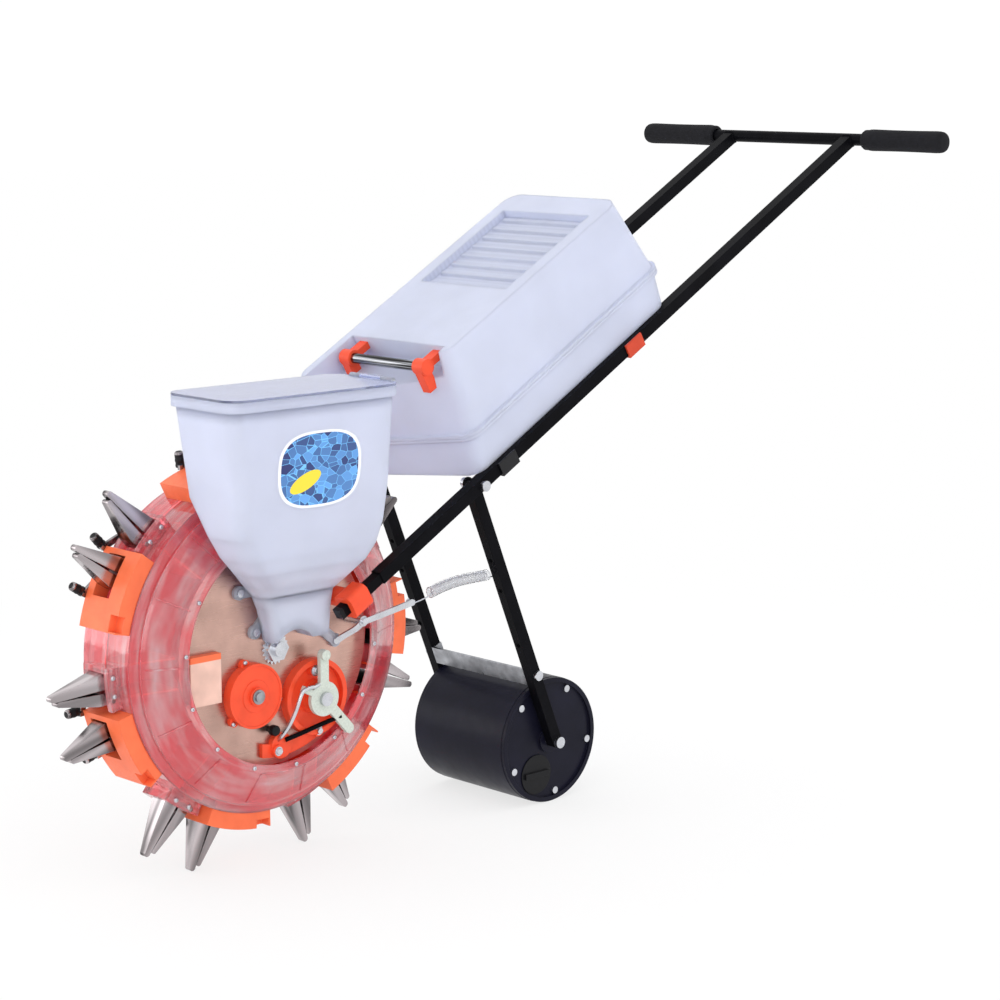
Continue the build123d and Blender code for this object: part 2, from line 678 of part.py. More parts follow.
def rod_caps():
    """Plugs on the front ends of the rods."""
    caps = []
    half = ROD_SIDE / 2
    stem = half - ROD_WALL - SLIP / 2
    for y in (TUBE_Y, -TUBE_Y):
        head = block(0, CAP_T, y - half, y + half, -half, half)
        caps.append(TUBES * (head + block(-2 * CAP_T, 0, y - stem, y + stem, -stem, stem)))
    return Compound(caps)


def tube_clamp():
    """Left clamp: sleeve round the rod with an arm to the hub plate."""
    half = CLAMP_SIDE / 2
    hole = ROD_SIDE / 2
    u0, u1 = CLAMP_FROM, CLAMP_FROM + CLAMP_LENGTH
    middle = -(u0 + u1) / 2
    sleeve = block(-u1, -u0, TUBE_Y - half, TUBE_Y + half, -half, half)
    sleeve = fillet(sleeve.edges().filter_by(Axis.X), half / 2)
    sleeve += rod_y(CLAMP_ARM_R, PLATE_Y, TUBE_Y - half / 2, middle)
    return TUBES * (sleeve - block(-u1 - 1, -u0 + 1, TUBE_Y - hole, TUBE_Y + hole, -hole, hole))


def handlebar():
    """Round bar across the tubes' upper ends."""
    half = BAR_LENGTH / 2
    bar = ring_y(BAR_R, BAR_R - BAR_WALL, -half + GRIP_R / 4, half - GRIP_R / 4)
    return Pos(AXLE_X - BAR_BACK, 0, BAR_HEIGHT) * bar


def grip():
    """Left grip: sleeve with a closed rounded end and an inner collar."""
    half = BAR_LENGTH / 2
    body = rod_y(GRIP_R, half - GRIP_LENGTH, half)
    body = fillet(body.edges().filter_by(GeomType.CIRCLE), GRIP_R / 5)
    body -= rod_y(BAR_R + SLIP / 2, half - GRIP_LENGTH - 1, half - GRIP_R / 4)
    return Pos(AXLE_X - BAR_BACK, 0, BAR_HEIGHT) * body


def hopper_body(inset):
    """Solid through the hopper's levels, drawn in by the inset."""
    faces = []
    for rise, x0, x1, y0, y1 in HOPPER_LEVELS:
        corner = min(HOPPER_CORNER, (y1 - y0) / 3) - inset
        faces.append(section(x0 + inset, x1 - inset, y0 + inset, y1 - inset, AXLE_Z + rise, corner))
    return Part() + [loft([a, b], ruled=True) for a, b in zip(faces[:-1], faces[1:])]


HOPPER_PIN = Pos(AXLE_X + HOPPER_X0 - HOPPER_RIM_OUT - KNUCKLE_R - SLIP, 0, HOPPER_TOP + LID_T / 2)


def lug(centre, root):
    """Round ear with a strap to the hopper's neck."""
    reach = math.hypot(root[0] - centre[0], root[1] - centre[1])
    turn = math.degrees(math.atan2(root[1] - centre[1], root[0] - centre[0]))
    strap = block(0, reach, PLATE_Y, PLATE_Y + LUG_T, -LUG_R * 0.8, LUG_R * 0.8)
    ear = rod_y(LUG_R, PLATE_Y, PLATE_Y + LUG_T)
    return Pos(centre[0], 0, centre[1]) * Rot(0, -turn, 0) * (ear + strap)


def hopper_rim_outline(z):
    """Outline of the hopper's rim and of its lid at height z."""
    out = HOPPER_RIM_OUT
    return section(HOPPER_X0 - out, HOPPER_X1 + out, HOPPER_Y0 - out, HOPPER_Y1 + out, z, HOPPER_CORNER)


def seed_hopper():
    """Seed hopper: open box that narrows to a neck on the left hub plate."""
    outer = hopper_body(0)
    rim = extrude(hopper_rim_outline(HOPPER_TOP), -HOPPER_RIM_H)
    body = Pos(AXLE_X, 0, 0) * (outer + rim)
    for centre, root in HOPPER_LUGS:
        body += AXLE * lug(centre, root)
    floor = AXLE_Z + HOPPER_LEVELS[-1][0]
    far = 2 * HOPPER_Y1
    hollow = Pos(AXLE_X, 0, 0) * hopper_body(HOPPER_WALL)
    hollow -= Pos(AXLE_X, 0, 0) * block(-far, far, 0, far, floor - 1, floor + HOPPER_WALL)
    hollow -= AXLE * rod_y(ARCH_R + HOPPER_WALL, PLATE_Y - 1, far, ARCH_X, ARCH_Z)
    body -= hollow
    body -= AXLE * rod_y(ARCH_R, PLATE_Y - 1, far, ARCH_X, ARCH_Z)
    body -= seed_window()
    for (x, z), _ in HOPPER_LUGS:
        body -= AXLE * rod_y(SCREW_R, PLATE_Y - 1, PLATE_Y + LUG_T + 1, x, z)
    ears = hinge_ears(HOPPER_MID, KNUCKLE_L, HINGE_PIN_R, KNUCKLE_R)
    web = block(0, KNUCKLE_R + 1, -KNUCKLE_L, KNUCKLE_L, -KNUCKLE_R, 0)
    gap = block(-20, 20, -KNUCKLE_L / 2 - SLIP, KNUCKLE_L / 2 + SLIP, -20, 20)
    ears += Pos(0, HOPPER_MID, 0) * (web - gap)
    ears -= rod_y(HINGE_PIN_R, HOPPER_MID - 60, HOPPER_MID + 60)
    return body + HOPPER_PIN * ears


def hinge_ears(y_mid, length, pin_r, outer_r):
    """Two outer knuckles of a hinge along Y."""
    inner = length / 2 + SLIP
    ear = ring_y(outer_r, pin_r, inner, length)
    return Pos(0, y_mid, 0) * (ear + mirror_y(ear))


def hinge_pins():
    """Pins through the knuckles of the hopper's and the tank's lids."""
    hopper_pin = rod_y(HINGE_PIN_R, HOPPER_MID - KNUCKLE_L - 1, HOPPER_MID + KNUCKLE_L + 1)
    tank_pin = rod_y(HINGE_PIN_R + 0.5, -2 * KNUCKLE_L - 1, 2 * KNUCKLE_L + 1)
    return Compound([HOPPER_PIN * hopper_pin, TUBES * TANK_PIN * tank_pin])


def hopper_lid():
    """Flat clear lid with a shallow downstand and the middle hinge knuckle."""
    lid = Pos(AXLE_X, 0, 0) * extrude(hopper_rim_outline(HOPPER_TOP + LID_REST), LID_T)
    half = KNUCKLE_L / 2
    lid -= HOPPER_PIN * rod_y(KNUCKLE_R + 2, HOPPER_MID - 2 * half - 1, HOPPER_MID + 2 * half + 1)
    knuckle = rod_y(KNUCKLE_R, HOPPER_MID - half, HOPPER_MID + half)
    tongue = block(0, KNUCKLE_R + 6, HOPPER_MID - half, HOPPER_MID + half, LID_REST - LID_T / 2, LID_T / 2)
    lid += HOPPER_PIN * (knuckle + tongue)
    return lid - HOPPER_PIN * rod_y(HINGE_PIN_R + RUN, HOPPER_MID - 60, HOPPER_MID + 60)


def hub_bolts():
    """Screws in the hopper's lugs and the shouldered bolt that the clutch lever turns on."""
    bolts = [lever_bolt()]
    for (x, z), _ in HOPPER_LUGS:
        bolts.append(AXLE * bolt_y(SCREW_R, 5, PLATE_Y + LUG_T, PLATE_Y, 3, x, z))
    return Compound(bolts)


def tank_section(w, level, inset):
    """Outline of the tank at height w above the tubes' axis, drawn in by the inset.

    A level holds the rear end, the front ends on the left and the right, and the half width.
    """
    rear, left, right, half = level
    outline = Polygon(
        (inset - rear, inset - half),
        (-right - inset, inset - half),
        (-left - inset, half - inset),
        (inset - rear, half - inset),
        align=None,
    )
    outline = fillet(outline.vertices(), TANK_CORNER - inset / 2)
    return Pos(0, 0, w) * outline


def tray_shape(inset, lift):
    """Solid of the tray from the given height above the tubes to the lip."""
    low = tank_section(DECK + lift, TANK_FLOOR, inset)
    high = tank_section(DECK + TANK_LIP, TANK_BRIM, inset)
    return loft([low, high], ruled=True)


def fertilizer_tank():
    """Lower tray of the fertilizer tank, resting on the two tubes, with a flange at its lip."""
    lip = DECK + TANK_LIP
    body = tray_shape(0, 0)
    body += extrude(tank_section(lip - TANK_LIP_T, TANK_BRIM, -TANK_LIP_OUT), TANK_LIP_T)
    body -= tray_shape(TANK_WALL, TANK_WALL)
    y0, y1 = chute_y(CHUTE_WALL)
    body -= block(-TANK_FLOOR[2] - 30, 0, y0, y1, CHUTE_LOW + CHUTE_WALL, CHUTE_HIGH - CHUTE_WALL)
    ears = hinge_ears(0, 2 * KNUCKLE_L, HINGE_PIN_R + 0.5, KNUCKLE_R + 1)
    web = block(0, KNUCKLE_R + 4, -2 * KNUCKLE_L, 2 * KNUCKLE_L, -TANK_LIP_T, -2 * SLIP)
    gap = block(-20, 20, -KNUCKLE_L - SLIP, KNUCKLE_L + SLIP, -20, 20)
    ears += web - gap
    ears -= rod_y(HINGE_PIN_R + 0.5, -3 * KNUCKLE_L, 3 * KNUCKLE_L)
    return TUBES * (body + TANK_PIN * ears)


def chute_y(inset):
    """Limits of the chute across the machine."""
    outer = TUBE_Y - TUBE_SIDE / 2 - 2 * SLIP
    return -outer + inset, -(OPENING_Y + 4) - inset


TANK_PIN = Pos(-TANK_BRIM[0] - TANK_LIP_OUT - KNUCKLE_R - 2, 0, DECK + TANK_LIP)


def lid_shape(inset=0.0):
    """Solid of the tank lid with the handle's recess and the sunken panel, drawn in by the inset."""
    top = DECK + TANK_TOP
    low = tank_section(DECK + TANK_LIP + LID_REST, TANK_BRIM, inset)
    high = tank_section(top - inset, TANK_CROWN, inset)
    recess = block(
        -RECESS_BACK - inset, 0, -RECESS_HALF - inset, RECESS_HALF + inset, RECESS_FLOOR - inset, top + 10
    )
    panel = block(
        -PANEL_TO - inset,
        -PANEL_FROM + inset,
        -PANEL_HALF - inset,
        PANEL_HALF + inset,
        top - PANEL_DEPTH - inset,
        top + 10,
    )
    return loft([low, high], ruled=True) - recess - panel


def tank_lid():
    """Upper shell of the tank with its ribbed, sunken panel and the middle hinge knuckles."""
    top = DECK + TANK_TOP
    lip = DECK + TANK_LIP + LID_REST
    body = lid_shape()
    body += extrude(tank_section(lip, TANK_BRIM, -TANK_LIP_OUT), TANK_LIP_T)
    body -= lid_shape(TANK_WALL)
    pitch = (PANEL_TO - PANEL_FROM) / PANEL_RIBS
    for k in range(PANEL_RIBS):
        u = PANEL_FROM + (k + 0.5) * pitch
        floor = top - PANEL_DEPTH
        body += block(-u - RIB_W / 2, -u + RIB_W / 2, -PANEL_HALF + 6, PANEL_HALF - 6, floor, floor + RIB_H)
    half = KNUCKLE_L
    knuckle = rod_y(KNUCKLE_R + 1, -half, half)
    tongue = block(0, KNUCKLE_R + 4, -half, half, 2 * SLIP, TANK_LIP_T)
    body += TANK_PIN * (knuckle + tongue)
    body -= TANK_PIN * rod_y(HINGE_PIN_R + 0.5 + RUN, -3 * KNUCKLE_L, 3 * KNUCKLE_L)
    return TUBES * body


def carry_bar():
    """Carrying handle's bar."""
    return TUBES * rod_y(CARRY_R, -CARRY_HALF, CARRY_HALF, -CARRY_U, CARRY_W)


def carry_brackets():
    """Two brackets that hold the bar in the lid's front recess."""
    ring = CARRY_R + 4
    brackets = []
    for side in (1, -1):
        y0, y1 = sorted((side * (CARRY_HALF - 14), side * (CARRY_HALF + 6)))
        body = rod_y(ring, y0, y1, -CARRY_U, CARRY_W)
        body += block(-RECESS_BACK - 1, -CARRY_U, y0 + 2, y1 - 2, CARRY_W - 5, CARRY_W + 5)
        body += block(-CARRY_U - 5, -CARRY_U + 11, y0 + 3, y1 - 3, CARRY_W - 34, CARRY_W)
        body -= rod_y(CARRY_R, -CARRY_HALF, CARRY_HALF, -CARRY_U, CARRY_W)
        brackets.append(TUBES * (body - lid_shape()))
    return Compound([b.solids().sort_by(SortBy.VOLUME)[-1] for b in brackets])


def tank_clips():
    """Clips under the tubes that hold the tank's tray."""
    half = TUBE_SIDE / 2
    clips = []
    for u in CLIP_AT:
        for side in (1, -1):
            y = side * TUBE_Y
            outer = half + CLIP_T
            wrap = block(-u - CLIP_L / 2, -u + CLIP_L / 2, y - outer, y + outer, -outer, DECK)
            wrap -= block(-u - CLIP_L, -u + CLIP_L, y - half, y + half, -half, DECK + 1)
            clips.append(TUBES * wrap)
    return Compound(clips)


def fertilizer_chute():
    """Duct from the tank's front to the right hub plate."""
    y0, y1 = chute_y(0)
    end = -TANK_FLOOR[2] - 20
    run = block(end, -CHUTE_FROM, y0, y1, CHUTE_LOW, CHUTE_HIGH)
    elbow = block(-CHUTE_FROM - CHUTE_MOUTH, -CHUTE_FROM, y0, -PLATE_Y, CHUTE_LOW, CHUTE_HIGH)
    w = CHUTE_WALL
    inner = block(end - 1, -CHUTE_FROM - w, y0 + w, y1 - w, CHUTE_LOW + w, CHUTE_HIGH - w)
    return TUBES * (run + elbow - inner - chute_elbow(w) - tray_shape(0, 0))


def chute_elbow(wall):
    """Inside of the chute's elbow, on through the right hub plate."""
    return block(
        -CHUTE_FROM - CHUTE_MOUTH + wall,
        -CHUTE_FROM - wall,
        chute_y(wall)[0],
        -PLATE_Y + PLATE_T + 1,
        CHUTE_LOW + wall,
        CHUTE_HIGH - wall,
    )


ARMS = TUBES * Pos(-PIVOT_U, 0, -PIVOT_DROP)
LEAN = math.radians(TILT)
PIVOT_X = AXLE_X - FOOT_BACK - PIVOT_U * math.cos(LEAN) - PIVOT_DROP * math.sin(LEAN)
PIVOT_Z = FOOT_HEIGHT + PIVOT_U * math.sin(LEAN) - PIVOT_DROP * math.cos(LEAN)
ROLLER_X = AXLE_X - ROLLER_BACK
ARM_LENGTH = math.hypot(ROLLER_X - PIVOT_X, PIVOT_Z - ROLLER_R)
ARM_LEAN = math.degrees(math.atan2(PIVOT_X - ROLLER_X, PIVOT_Z - ROLLER_R))
ARM = Pos(PIVOT_X, 0, PIVOT_Z) * Rot(0, ARM_LEAN, 0)
SCRAPER_DROP = ARM_LENGTH - ROLLER_R - 8


def arm():
    """Left arm from the tube to the roller axle: a channel, open at the back, with holes in its front."""
    half = ARM_W / 2
    body = block(-half, half, ARM_IN, ARM_Y, -ARM_LENGTH, 0)
    body += rod_y(half, ARM_IN, ARM_Y) + rod_y(half, ARM_IN, ARM_Y, 0, -ARM_LENGTH)
    low = -ARM_LENGTH - ARM_W
    body -= block(-ARM_W, half - ARM_T, ARM_IN + ARM_T, ARM_Y - ARM_T, low, ARM_W)
    body -= rod_y(PIVOT_BOLT_R + RUN, ARM_IN - 1, ARM_Y + 1)
    body -= rod_y(ROLLER_AXLE_R * 0.75, ARM_IN - 1, ARM_Y + 1, 0, -ARM_LENGTH)
    body -= rod_y(SCRAPER_BOLT_R, ARM_IN - 1, ARM_Y + 1, SCRAPER_BOLT_X, SCRAPER_W / 2 - SCRAPER_DROP)
    for down in ARM_HOLES:
        body -= Pos(half, (ARM_IN + ARM_Y) / 2, -down) * Rot(0, 90, 0) * Cylinder(ARM_HOLE_R, 3 * ARM_T)
    return ARM * body


def pivot_bolts():
    """Bolts through the tubes that the arms swing on."""
    outside = TUBE_Y + TUBE_SIDE / 2
    inside = ARM_IN - SLIP
    bolt = bolt_y(PIVOT_BOLT_R, PIVOT_BOLT_R * 1.8, outside, inside - 6, 6)
    nut = ring_y(PIVOT_BOLT_R * 1.8, PIVOT_BOLT_R - 0.5, inside - 6, inside)
    bolt += nut
    return Compound([ARMS * bolt, ARMS * mirror_y(bolt)])


def scraper():
    """Strip across the arms just above the roller, with a folded ear on each arm."""
    half = ARM_W / 2
    top = SCRAPER_W - SCRAPER_DROP
    strip = block(half - SCRAPER_T, half, -ARM_IN, ARM_IN, -SCRAPER_DROP, top)
    ear = block(-half, half, ARM_IN - SCRAPER_T, ARM_IN, -SCRAPER_DROP, top)
    body = strip + ear + mirror_y(ear)
    return ARM * (body - rod_y(SCRAPER_BOLT_R, -ARM_Y, ARM_Y, SCRAPER_BOLT_X, top - SCRAPER_W / 2))


def scraper_bolts():
    """Bolts that hold the scraper's ears on the arms."""
    tip = ARM_IN - SCRAPER_T
    place = (SCRAPER_BOLT_X, SCRAPER_W / 2 - SCRAPER_DROP)
    bolt = bolt_y(SCRAPER_BOLT_R, 7, ARM_Y, tip, 5, *place)
    return Compound([ARM * bolt, ARM * mirror_y(bolt)])


def roller_axle():
    """Shaft between the arms with a bolt into each end."""
    shaft = rod_y(ROLLER_AXLE_R, -ARM_IN, ARM_IN)
    stub = bolt_y(ROLLER_AXLE_R * 0.75 - 0.1, 8, ARM_Y, ARM_IN - 1, 6)
    return Pos(ROLLER_X, 0, ROLLER_R) * (shaft + stub + mirror_y(stub))


ROLLER = Pos(ROLLER_X, 0, ROLLER_R)


def roller_shell():
    """Hollow roller drum."""
    half = ROLLER_HALF - CAP_DISC_T
    return ROLLER * ring_y(ROLLER_R, ROLLER_R - ROLLER_WALL, -half, half)


def plug_place():
    """Filler plug centre in the left cap."""
    angle = math.radians(PLUG_ANGLE)
    return PLUG_OFFSET * math.cos(angle), PLUG_OFFSET * math.sin(angle)


def end_cap(filler):
    """Left end cap with a raised rim; filler adds the plug's hole."""
    half = ROLLER_HALF
    inner = half - CAP_DISC_T
    body = rod_y(ROLLER_R - 0.5, inner, half - CAP_RIM_H)
    body += ring_y(ROLLER_R - 0.5, ROLLER_R - 7, half - CAP_RIM_H - 1, half)
    body += rod_y(BOSS_R, inner - BOSS_R, half)
    body -= rod_y(ROLLER_AXLE_R + RUN, inner - BOSS_R - 1, half + 1)
    if filler:
        body -= rod_y(PLUG_R - 4 + RUN, inner - 1, half + 1, *plug_place())
    return ROLLER * body


def cap_screws():
    """Screws round the rim of both end caps."""
    screws = []
    for k in range(CAP_SCREWS):
        turn = Rot(0, 36 - PLUG_ANGLE - 360 / CAP_SCREWS * k, 0)
        head = rod_y(CAP_SCREW_R, ROLLER_HALF - CAP_RIM_H, ROLLER_HALF - 0.5, ROLLER_R - 7 - CAP_SCREW_R - 1)
        screws += [ROLLER * turn * head, ROLLER * turn * mirror_y(head)]
    return Compound(screws)


def filler_plug():
    """Screw plug with a bar grip in the left end cap."""
    face = ROLLER_HALF - CAP_RIM_H
    plug = rod_y(PLUG_R - 4, face - CAP_DISC_T + CAP_RIM_H, face + SLIP)
    plug += rod_y(PLUG_R, face + SLIP, face + PLUG_T - 1)
    plug += block(-PLUG_R * 0.8, PLUG_R * 0.8, face + PLUG_T - 1, face + PLUG_T + 2, -4, 4)
    x, z = plug_place()
    return ROLLER * Pos(x, 0, z) * plug


def spring_stay():
    """Flat bracket from the left hub plate back past the rim, for the spring's front hook."""
    lean = math.degrees(math.atan2(STAY_END_Z - STAY_FOOT_Z, STAY_FOOT_X - STAY_END_X))
    length = math.hypot(STAY_END_Z - STAY_FOOT_Z, STAY_END_X - STAY_FOOT_X)
    half = STAY_W / 2
    bar = block(-length, 0, STAY_Y, STAY_Y + STAY_T, -half, half)
    bar += rod_y(half, STAY_Y, STAY_Y + STAY_T) + rod_y(half, STAY_Y, STAY_Y + STAY_T, -length)
    bar += rod_y(7, PLATE_Y, STAY_Y)
    bar += rod_y(STUD_R, STAY_Y - 8, STAY_Y, -length)
    return AXLE * Pos(STAY_FOOT_X, 0, STAY_FOOT_Z) * Rot(0, lean, 0) * bar


def biarc(start, start_way, end, end_way):
    """Two tangent arcs from one point and direction to another."""
    span = end - start
    ways = start_way + end_way
    a = 2 * (1 - start_way.dot(end_way))
    b = 2 * span.dot(ways)
    c = -span.dot(span)
    reach = (-b + math.sqrt(b * b - 4 * a * c)) / (2 * a) if abs(a) > 1e-9 else -c / b
    joint = (start + start_way * reach + end - end_way * reach) * 0.5
    first = Edge.make_tangent_arc(start, start_way, joint)
    return [first, Edge.make_tangent_arc(joint, first.tangent_at(1), end)]


SPRING_FRONT = Vector(AXLE_X + STAY_END_X, STAY_Y - 5, AXLE_Z + STAY_END_Z)
SPRING_REAR = Vector(
    PIVOT_X - SPRING_ON_ARM * math.sin(math.radians(ARM_LEAN)),
    STAY_Y - 5,
    PIVOT_Z - SPRING_ON_ARM * math.cos(math.radians(ARM_LEAN)),
)


def spring_frame():
    """Axis direction of the spring with two directions across it."""
    along = (SPRING_REAR - SPRING_FRONT).normalized()
    across = Vector(0, 1, 0)
    return along, across, along.cross(across)


def spring_point(turn):
    """Point and direction on the coil after so many turns."""
    along, across, third = spring_frame()
    rise = SPRING_COIL_L / SPRING_TURNS
    angle = 2 * math.pi * turn
    out = across * math.cos(angle) + third * math.sin(angle)
    way = third * math.cos(angle) - across * math.sin(angle)
    place = SPRING_FRONT + along * (SPRING_COIL_FROM + rise * turn) + out * SPRING_R
    return place, (way * (2 * math.pi * SPRING_R) + along * rise).normalized()


def spring_hook(stud, away):
    """Points of a hook round a stud: it starts below the stud and leaves along the spring."""
    third = spring_frame()[2]
    eye = STUD_R + SPRING_WIRE_R + SLIP
    below = stud - third * eye
    behind = stud - away * eye
    above = stud + third * eye
    end = below + away * (2 * SPRING_WIRE_R)
    return end, below, behind, above


def arm_spring():
    """Pull spring: a hook round the stud at each end and one unbroken coil between them."""
    along = spring_frame()[0]
    stops = [spring_point(k / 2) for k in range(2 * SPRING_TURNS + 1)]
    lead = 2.2 * SPRING_R
    end0, below0, behind0, above0 = spring_hook(SPRING_FRONT, along)
    end1, below1, behind1, above1 = spring_hook(SPRING_REAR, along * -1)
    into = above0 + along * (SPRING_COIL_FROM - lead)
    tail = (SPRING_REAR - SPRING_FRONT).length - SPRING_COIL_FROM - SPRING_COIL_L
    out_of = above1 - along * (tail - lead)
    stops = [(into, along)] + stops + [(out_of, along)]
    edges = [Edge.make_line(end0, below0), Edge.make_three_point_arc(below0, behind0, above0)]
    edges.append(Edge.make_line(above0, into))
    for (p0, t0), (p1, t1) in zip(stops[:-1], stops[1:]):
        edges += biarc(p0, t0, p1, t1)
    edges += [Edge.make_line(out_of, above1), Edge.make_three_point_arc(above1, behind1, below1)]
    edges.append(Edge.make_line(below1, end1))
    path = Wire(edges)
    print("spring wire", round(path.length, 1), "mm long, least gap", round(least_gap(path), 2), "mm")
    profile = Plane(origin=end0, z_dir=path.tangent_at(0)) * Circle(SPRING_WIRE_R)
    return sweep(profile, path)


def least_gap(path):
    """Least clear distance between points of a wire that are over a half turn apart along it."""
    step = 0.6
    count = int(path.length / step)
    points = [path.position_at(k / count) for k in range(count + 1)]
    apart = int(math.pi * SPRING_R / step)
    window = int(3 * 2 * math.pi * SPRING_R / step)
    least = math.inf
    for i, point in enumerate(points):
        for other in points[i + apart:i + window]:
            least = min(least, (point - other).length)
    return least - 2 * SPRING_WIRE_R


def spring_sleeve():
    """Clear sleeve round the coil."""
    along = spring_frame()[0]
    start = SPRING_FRONT + along * (SPRING_COIL_FROM - SPRING_R)
    ring = Circle(SLEEVE_R) - Circle(SLEEVE_R - SLEEVE_WALL)
    return extrude(Plane(origin=start, z_dir=along) * ring, SPRING_COIL_L + 2 * SPRING_R)


def spring_stud():
    """Stud on the left arm for the spring's rear hook."""
    return Pos(SPRING_REAR.X, 0, SPRING_REAR.Z) * rod_y(STUD_R, STAY_Y - 8, ARM_IN)


def pair(left):
    """A piece of the left side together with the same piece on the right."""
    return Compound([left, mirror_y(left)])


NODES = {
    "square_tubes": Compound([tube(1), tube(-1)]),
    "front_rods": Compound([front_rod(1), front_rod(-1)]),
    "rod_end_caps": rod_caps(),
    "handlebar": handlebar(),
    "grips": pair(grip()),
    "tube_clamps": pair(tube_clamp()),
    "axle": axle(),
    "axle_hardware": axle_hardware(),
    "hub_plates": hub_plates(),
    "meter_housings": pair(meter_housing()),
    "seed_roller": meter_roller(),
    "fertilizer_roller": mirror_y(meter_roller()),
    "clutch_housing": clutch_housing(),
    "clutch_lever": clutch_lever(),
    "hub_bolts": hub_bolts(),
    "lower_bracket": lower_bracket(),
    "seed_scoop": seed_scoop(),
    "seed_hopper": seed_hopper(),
    "hopper_lid": hopper_lid(),
    "hinge_pins": hinge_pins(),
    "fertilizer_tank": fertilizer_tank(),
    "tank_lid": tank_lid(),
    "carry_bar": carry_bar(),
    "carry_brackets": carry_brackets(),
    "tank_clips": tank_clips(),
    "fertilizer_chute": fertilizer_chute(),
    "spring_stay": spring_stay(),
    "arm_spring": arm_spring(),
    "spring_sleeve": spring_sleeve(),
    "left_arm": arm() + spring_stud(),
    "right_arm": mirror_y(arm()),
    "pivot_bolts": pivot_bolts(),
    "scraper": scraper(),
    "scraper_bolts": scraper_bolts(),
    "roller_axle": roller_axle(),
    "roller_shell": roller_shell(),
    "end_caps": Compound([end_cap(True), mirror_y(end_cap(False))]),
    "cap_screws": cap_screws(),
    "filler_plug": filler_plug(),
    "side_covers": pair(side_cover()),
    "drum_web": drum_web(),
    "drum_bearings": drum_bearings(),
    "ring_gears": pair(ring_gear()),
    "beaks": Compound([station(a) * fixed_beak() for a in SEED_ANGLES + FERT_ANGLES]),
    "seed_beak_bosses": Compound([station(a) * boss() for a in SEED_ANGLES]),
    "beak_seats": Compound([station(a) * seat() for a in FERT_ANGLES]),
}
for k in range(STATIONS):
    NODES[f"seed_flap_{k + 1}"] = station(SEED_ANGLES[k]) * flap()
    NODES[f"fertilizer_flap_{k + 1}"] = station(FERT_ANGLES[k]) * flap()

print("axle at", round(AXLE_X, 3), round(AXLE_Z, 3), "tilt", round(TILT, 3), "nodes", len(NODES))
os.makedirs("parts", exist_ok=True)
for name, shape in NODES.items():
    export_step(shape, f"parts/{name}.step")
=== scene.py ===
import math

import bmesh
import bpy
import numpy as np
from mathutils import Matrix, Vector


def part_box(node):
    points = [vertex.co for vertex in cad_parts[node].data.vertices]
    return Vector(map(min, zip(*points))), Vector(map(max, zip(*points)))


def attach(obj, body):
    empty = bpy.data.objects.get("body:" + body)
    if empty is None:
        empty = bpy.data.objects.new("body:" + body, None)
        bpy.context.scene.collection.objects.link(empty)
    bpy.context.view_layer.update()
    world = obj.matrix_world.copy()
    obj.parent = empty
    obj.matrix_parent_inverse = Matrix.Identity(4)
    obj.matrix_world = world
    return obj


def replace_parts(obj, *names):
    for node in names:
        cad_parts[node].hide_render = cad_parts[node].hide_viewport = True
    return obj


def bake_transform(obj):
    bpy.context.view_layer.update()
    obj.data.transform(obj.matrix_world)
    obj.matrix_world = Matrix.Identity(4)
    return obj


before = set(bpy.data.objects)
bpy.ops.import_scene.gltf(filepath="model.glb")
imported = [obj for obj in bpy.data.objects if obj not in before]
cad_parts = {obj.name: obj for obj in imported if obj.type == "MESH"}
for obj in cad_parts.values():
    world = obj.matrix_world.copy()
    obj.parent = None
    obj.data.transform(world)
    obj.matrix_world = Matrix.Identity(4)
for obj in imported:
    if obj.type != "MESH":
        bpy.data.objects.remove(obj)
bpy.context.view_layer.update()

bl_info = {
    "name": "Seed planter dressing",
    "version": (1, 0, 0),
    "blender": (4, 5, 0),
    "location": "View3D > Sidebar > Planter",
    "description": "Finishes, fasteners, linkage, grips and spring of a walk-behind seed planter",
    "category": "Object",
}

MM = 0.001
ROUND = 2.0 * math.pi
LEFT = np.array((0.0, 1.0, 0.0))
# Left and right, as signs.
SIDES = (1.0, -1.0)
# Mix node set for colours: input 0 takes the share, 6 and 7 the colours, and output 2 gives the mix.
MIX_COLOURS = {"data_type": "RGBA"}

# Places and sizes on the CAD pieces, in millimetres and degrees. X runs forward, Y left and Z up, from the
# middle of the axle. A height is above the ground, and U and W run along the square tubes and above their axis.
AXLE = np.mean(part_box("axle"), axis=0) / MM

# Wheel: beak stations, the end of a flap lever in its station, screws, and the side cover, a flat ring with a
# cone outside it that falls by COVER_FALL for each millimetre of radius.
STATIONS = 7
PITCH = 360.0 / STATIONS
BEAK_STEP = 15.0
SEED_ANGLES = -90.0 + (5 * PITCH + BEAK_STEP) / 2 - PITCH * np.arange(STATIONS)
FERT_ANGLES = SEED_ANGLES - BEAK_STEP
LEVER_OUT, LEVER_Y, LEVER_AHEAD = 237.7, -36.6, -38.0
COVER_Y, COVER_R, COVER_FALL = 79.4, 159.6, 0.494
COVER_STEPS = np.arange(2 * STATIONS) * PITCH / 2 + SEED_ANGLES[0]
RIB_TURN, RIB_FROM, RIB_TO = 6.0, 160.5, 201.0
COVER_SCREW_TURN, COVER_SCREW_R = 11.0, 154.0
BOSS_SCREW_OUT, BOSS_SCREW_Y, BOSS_SCREW_AHEAD = 225.0, 26.0, 12.0
WEB_HALF = 4.0

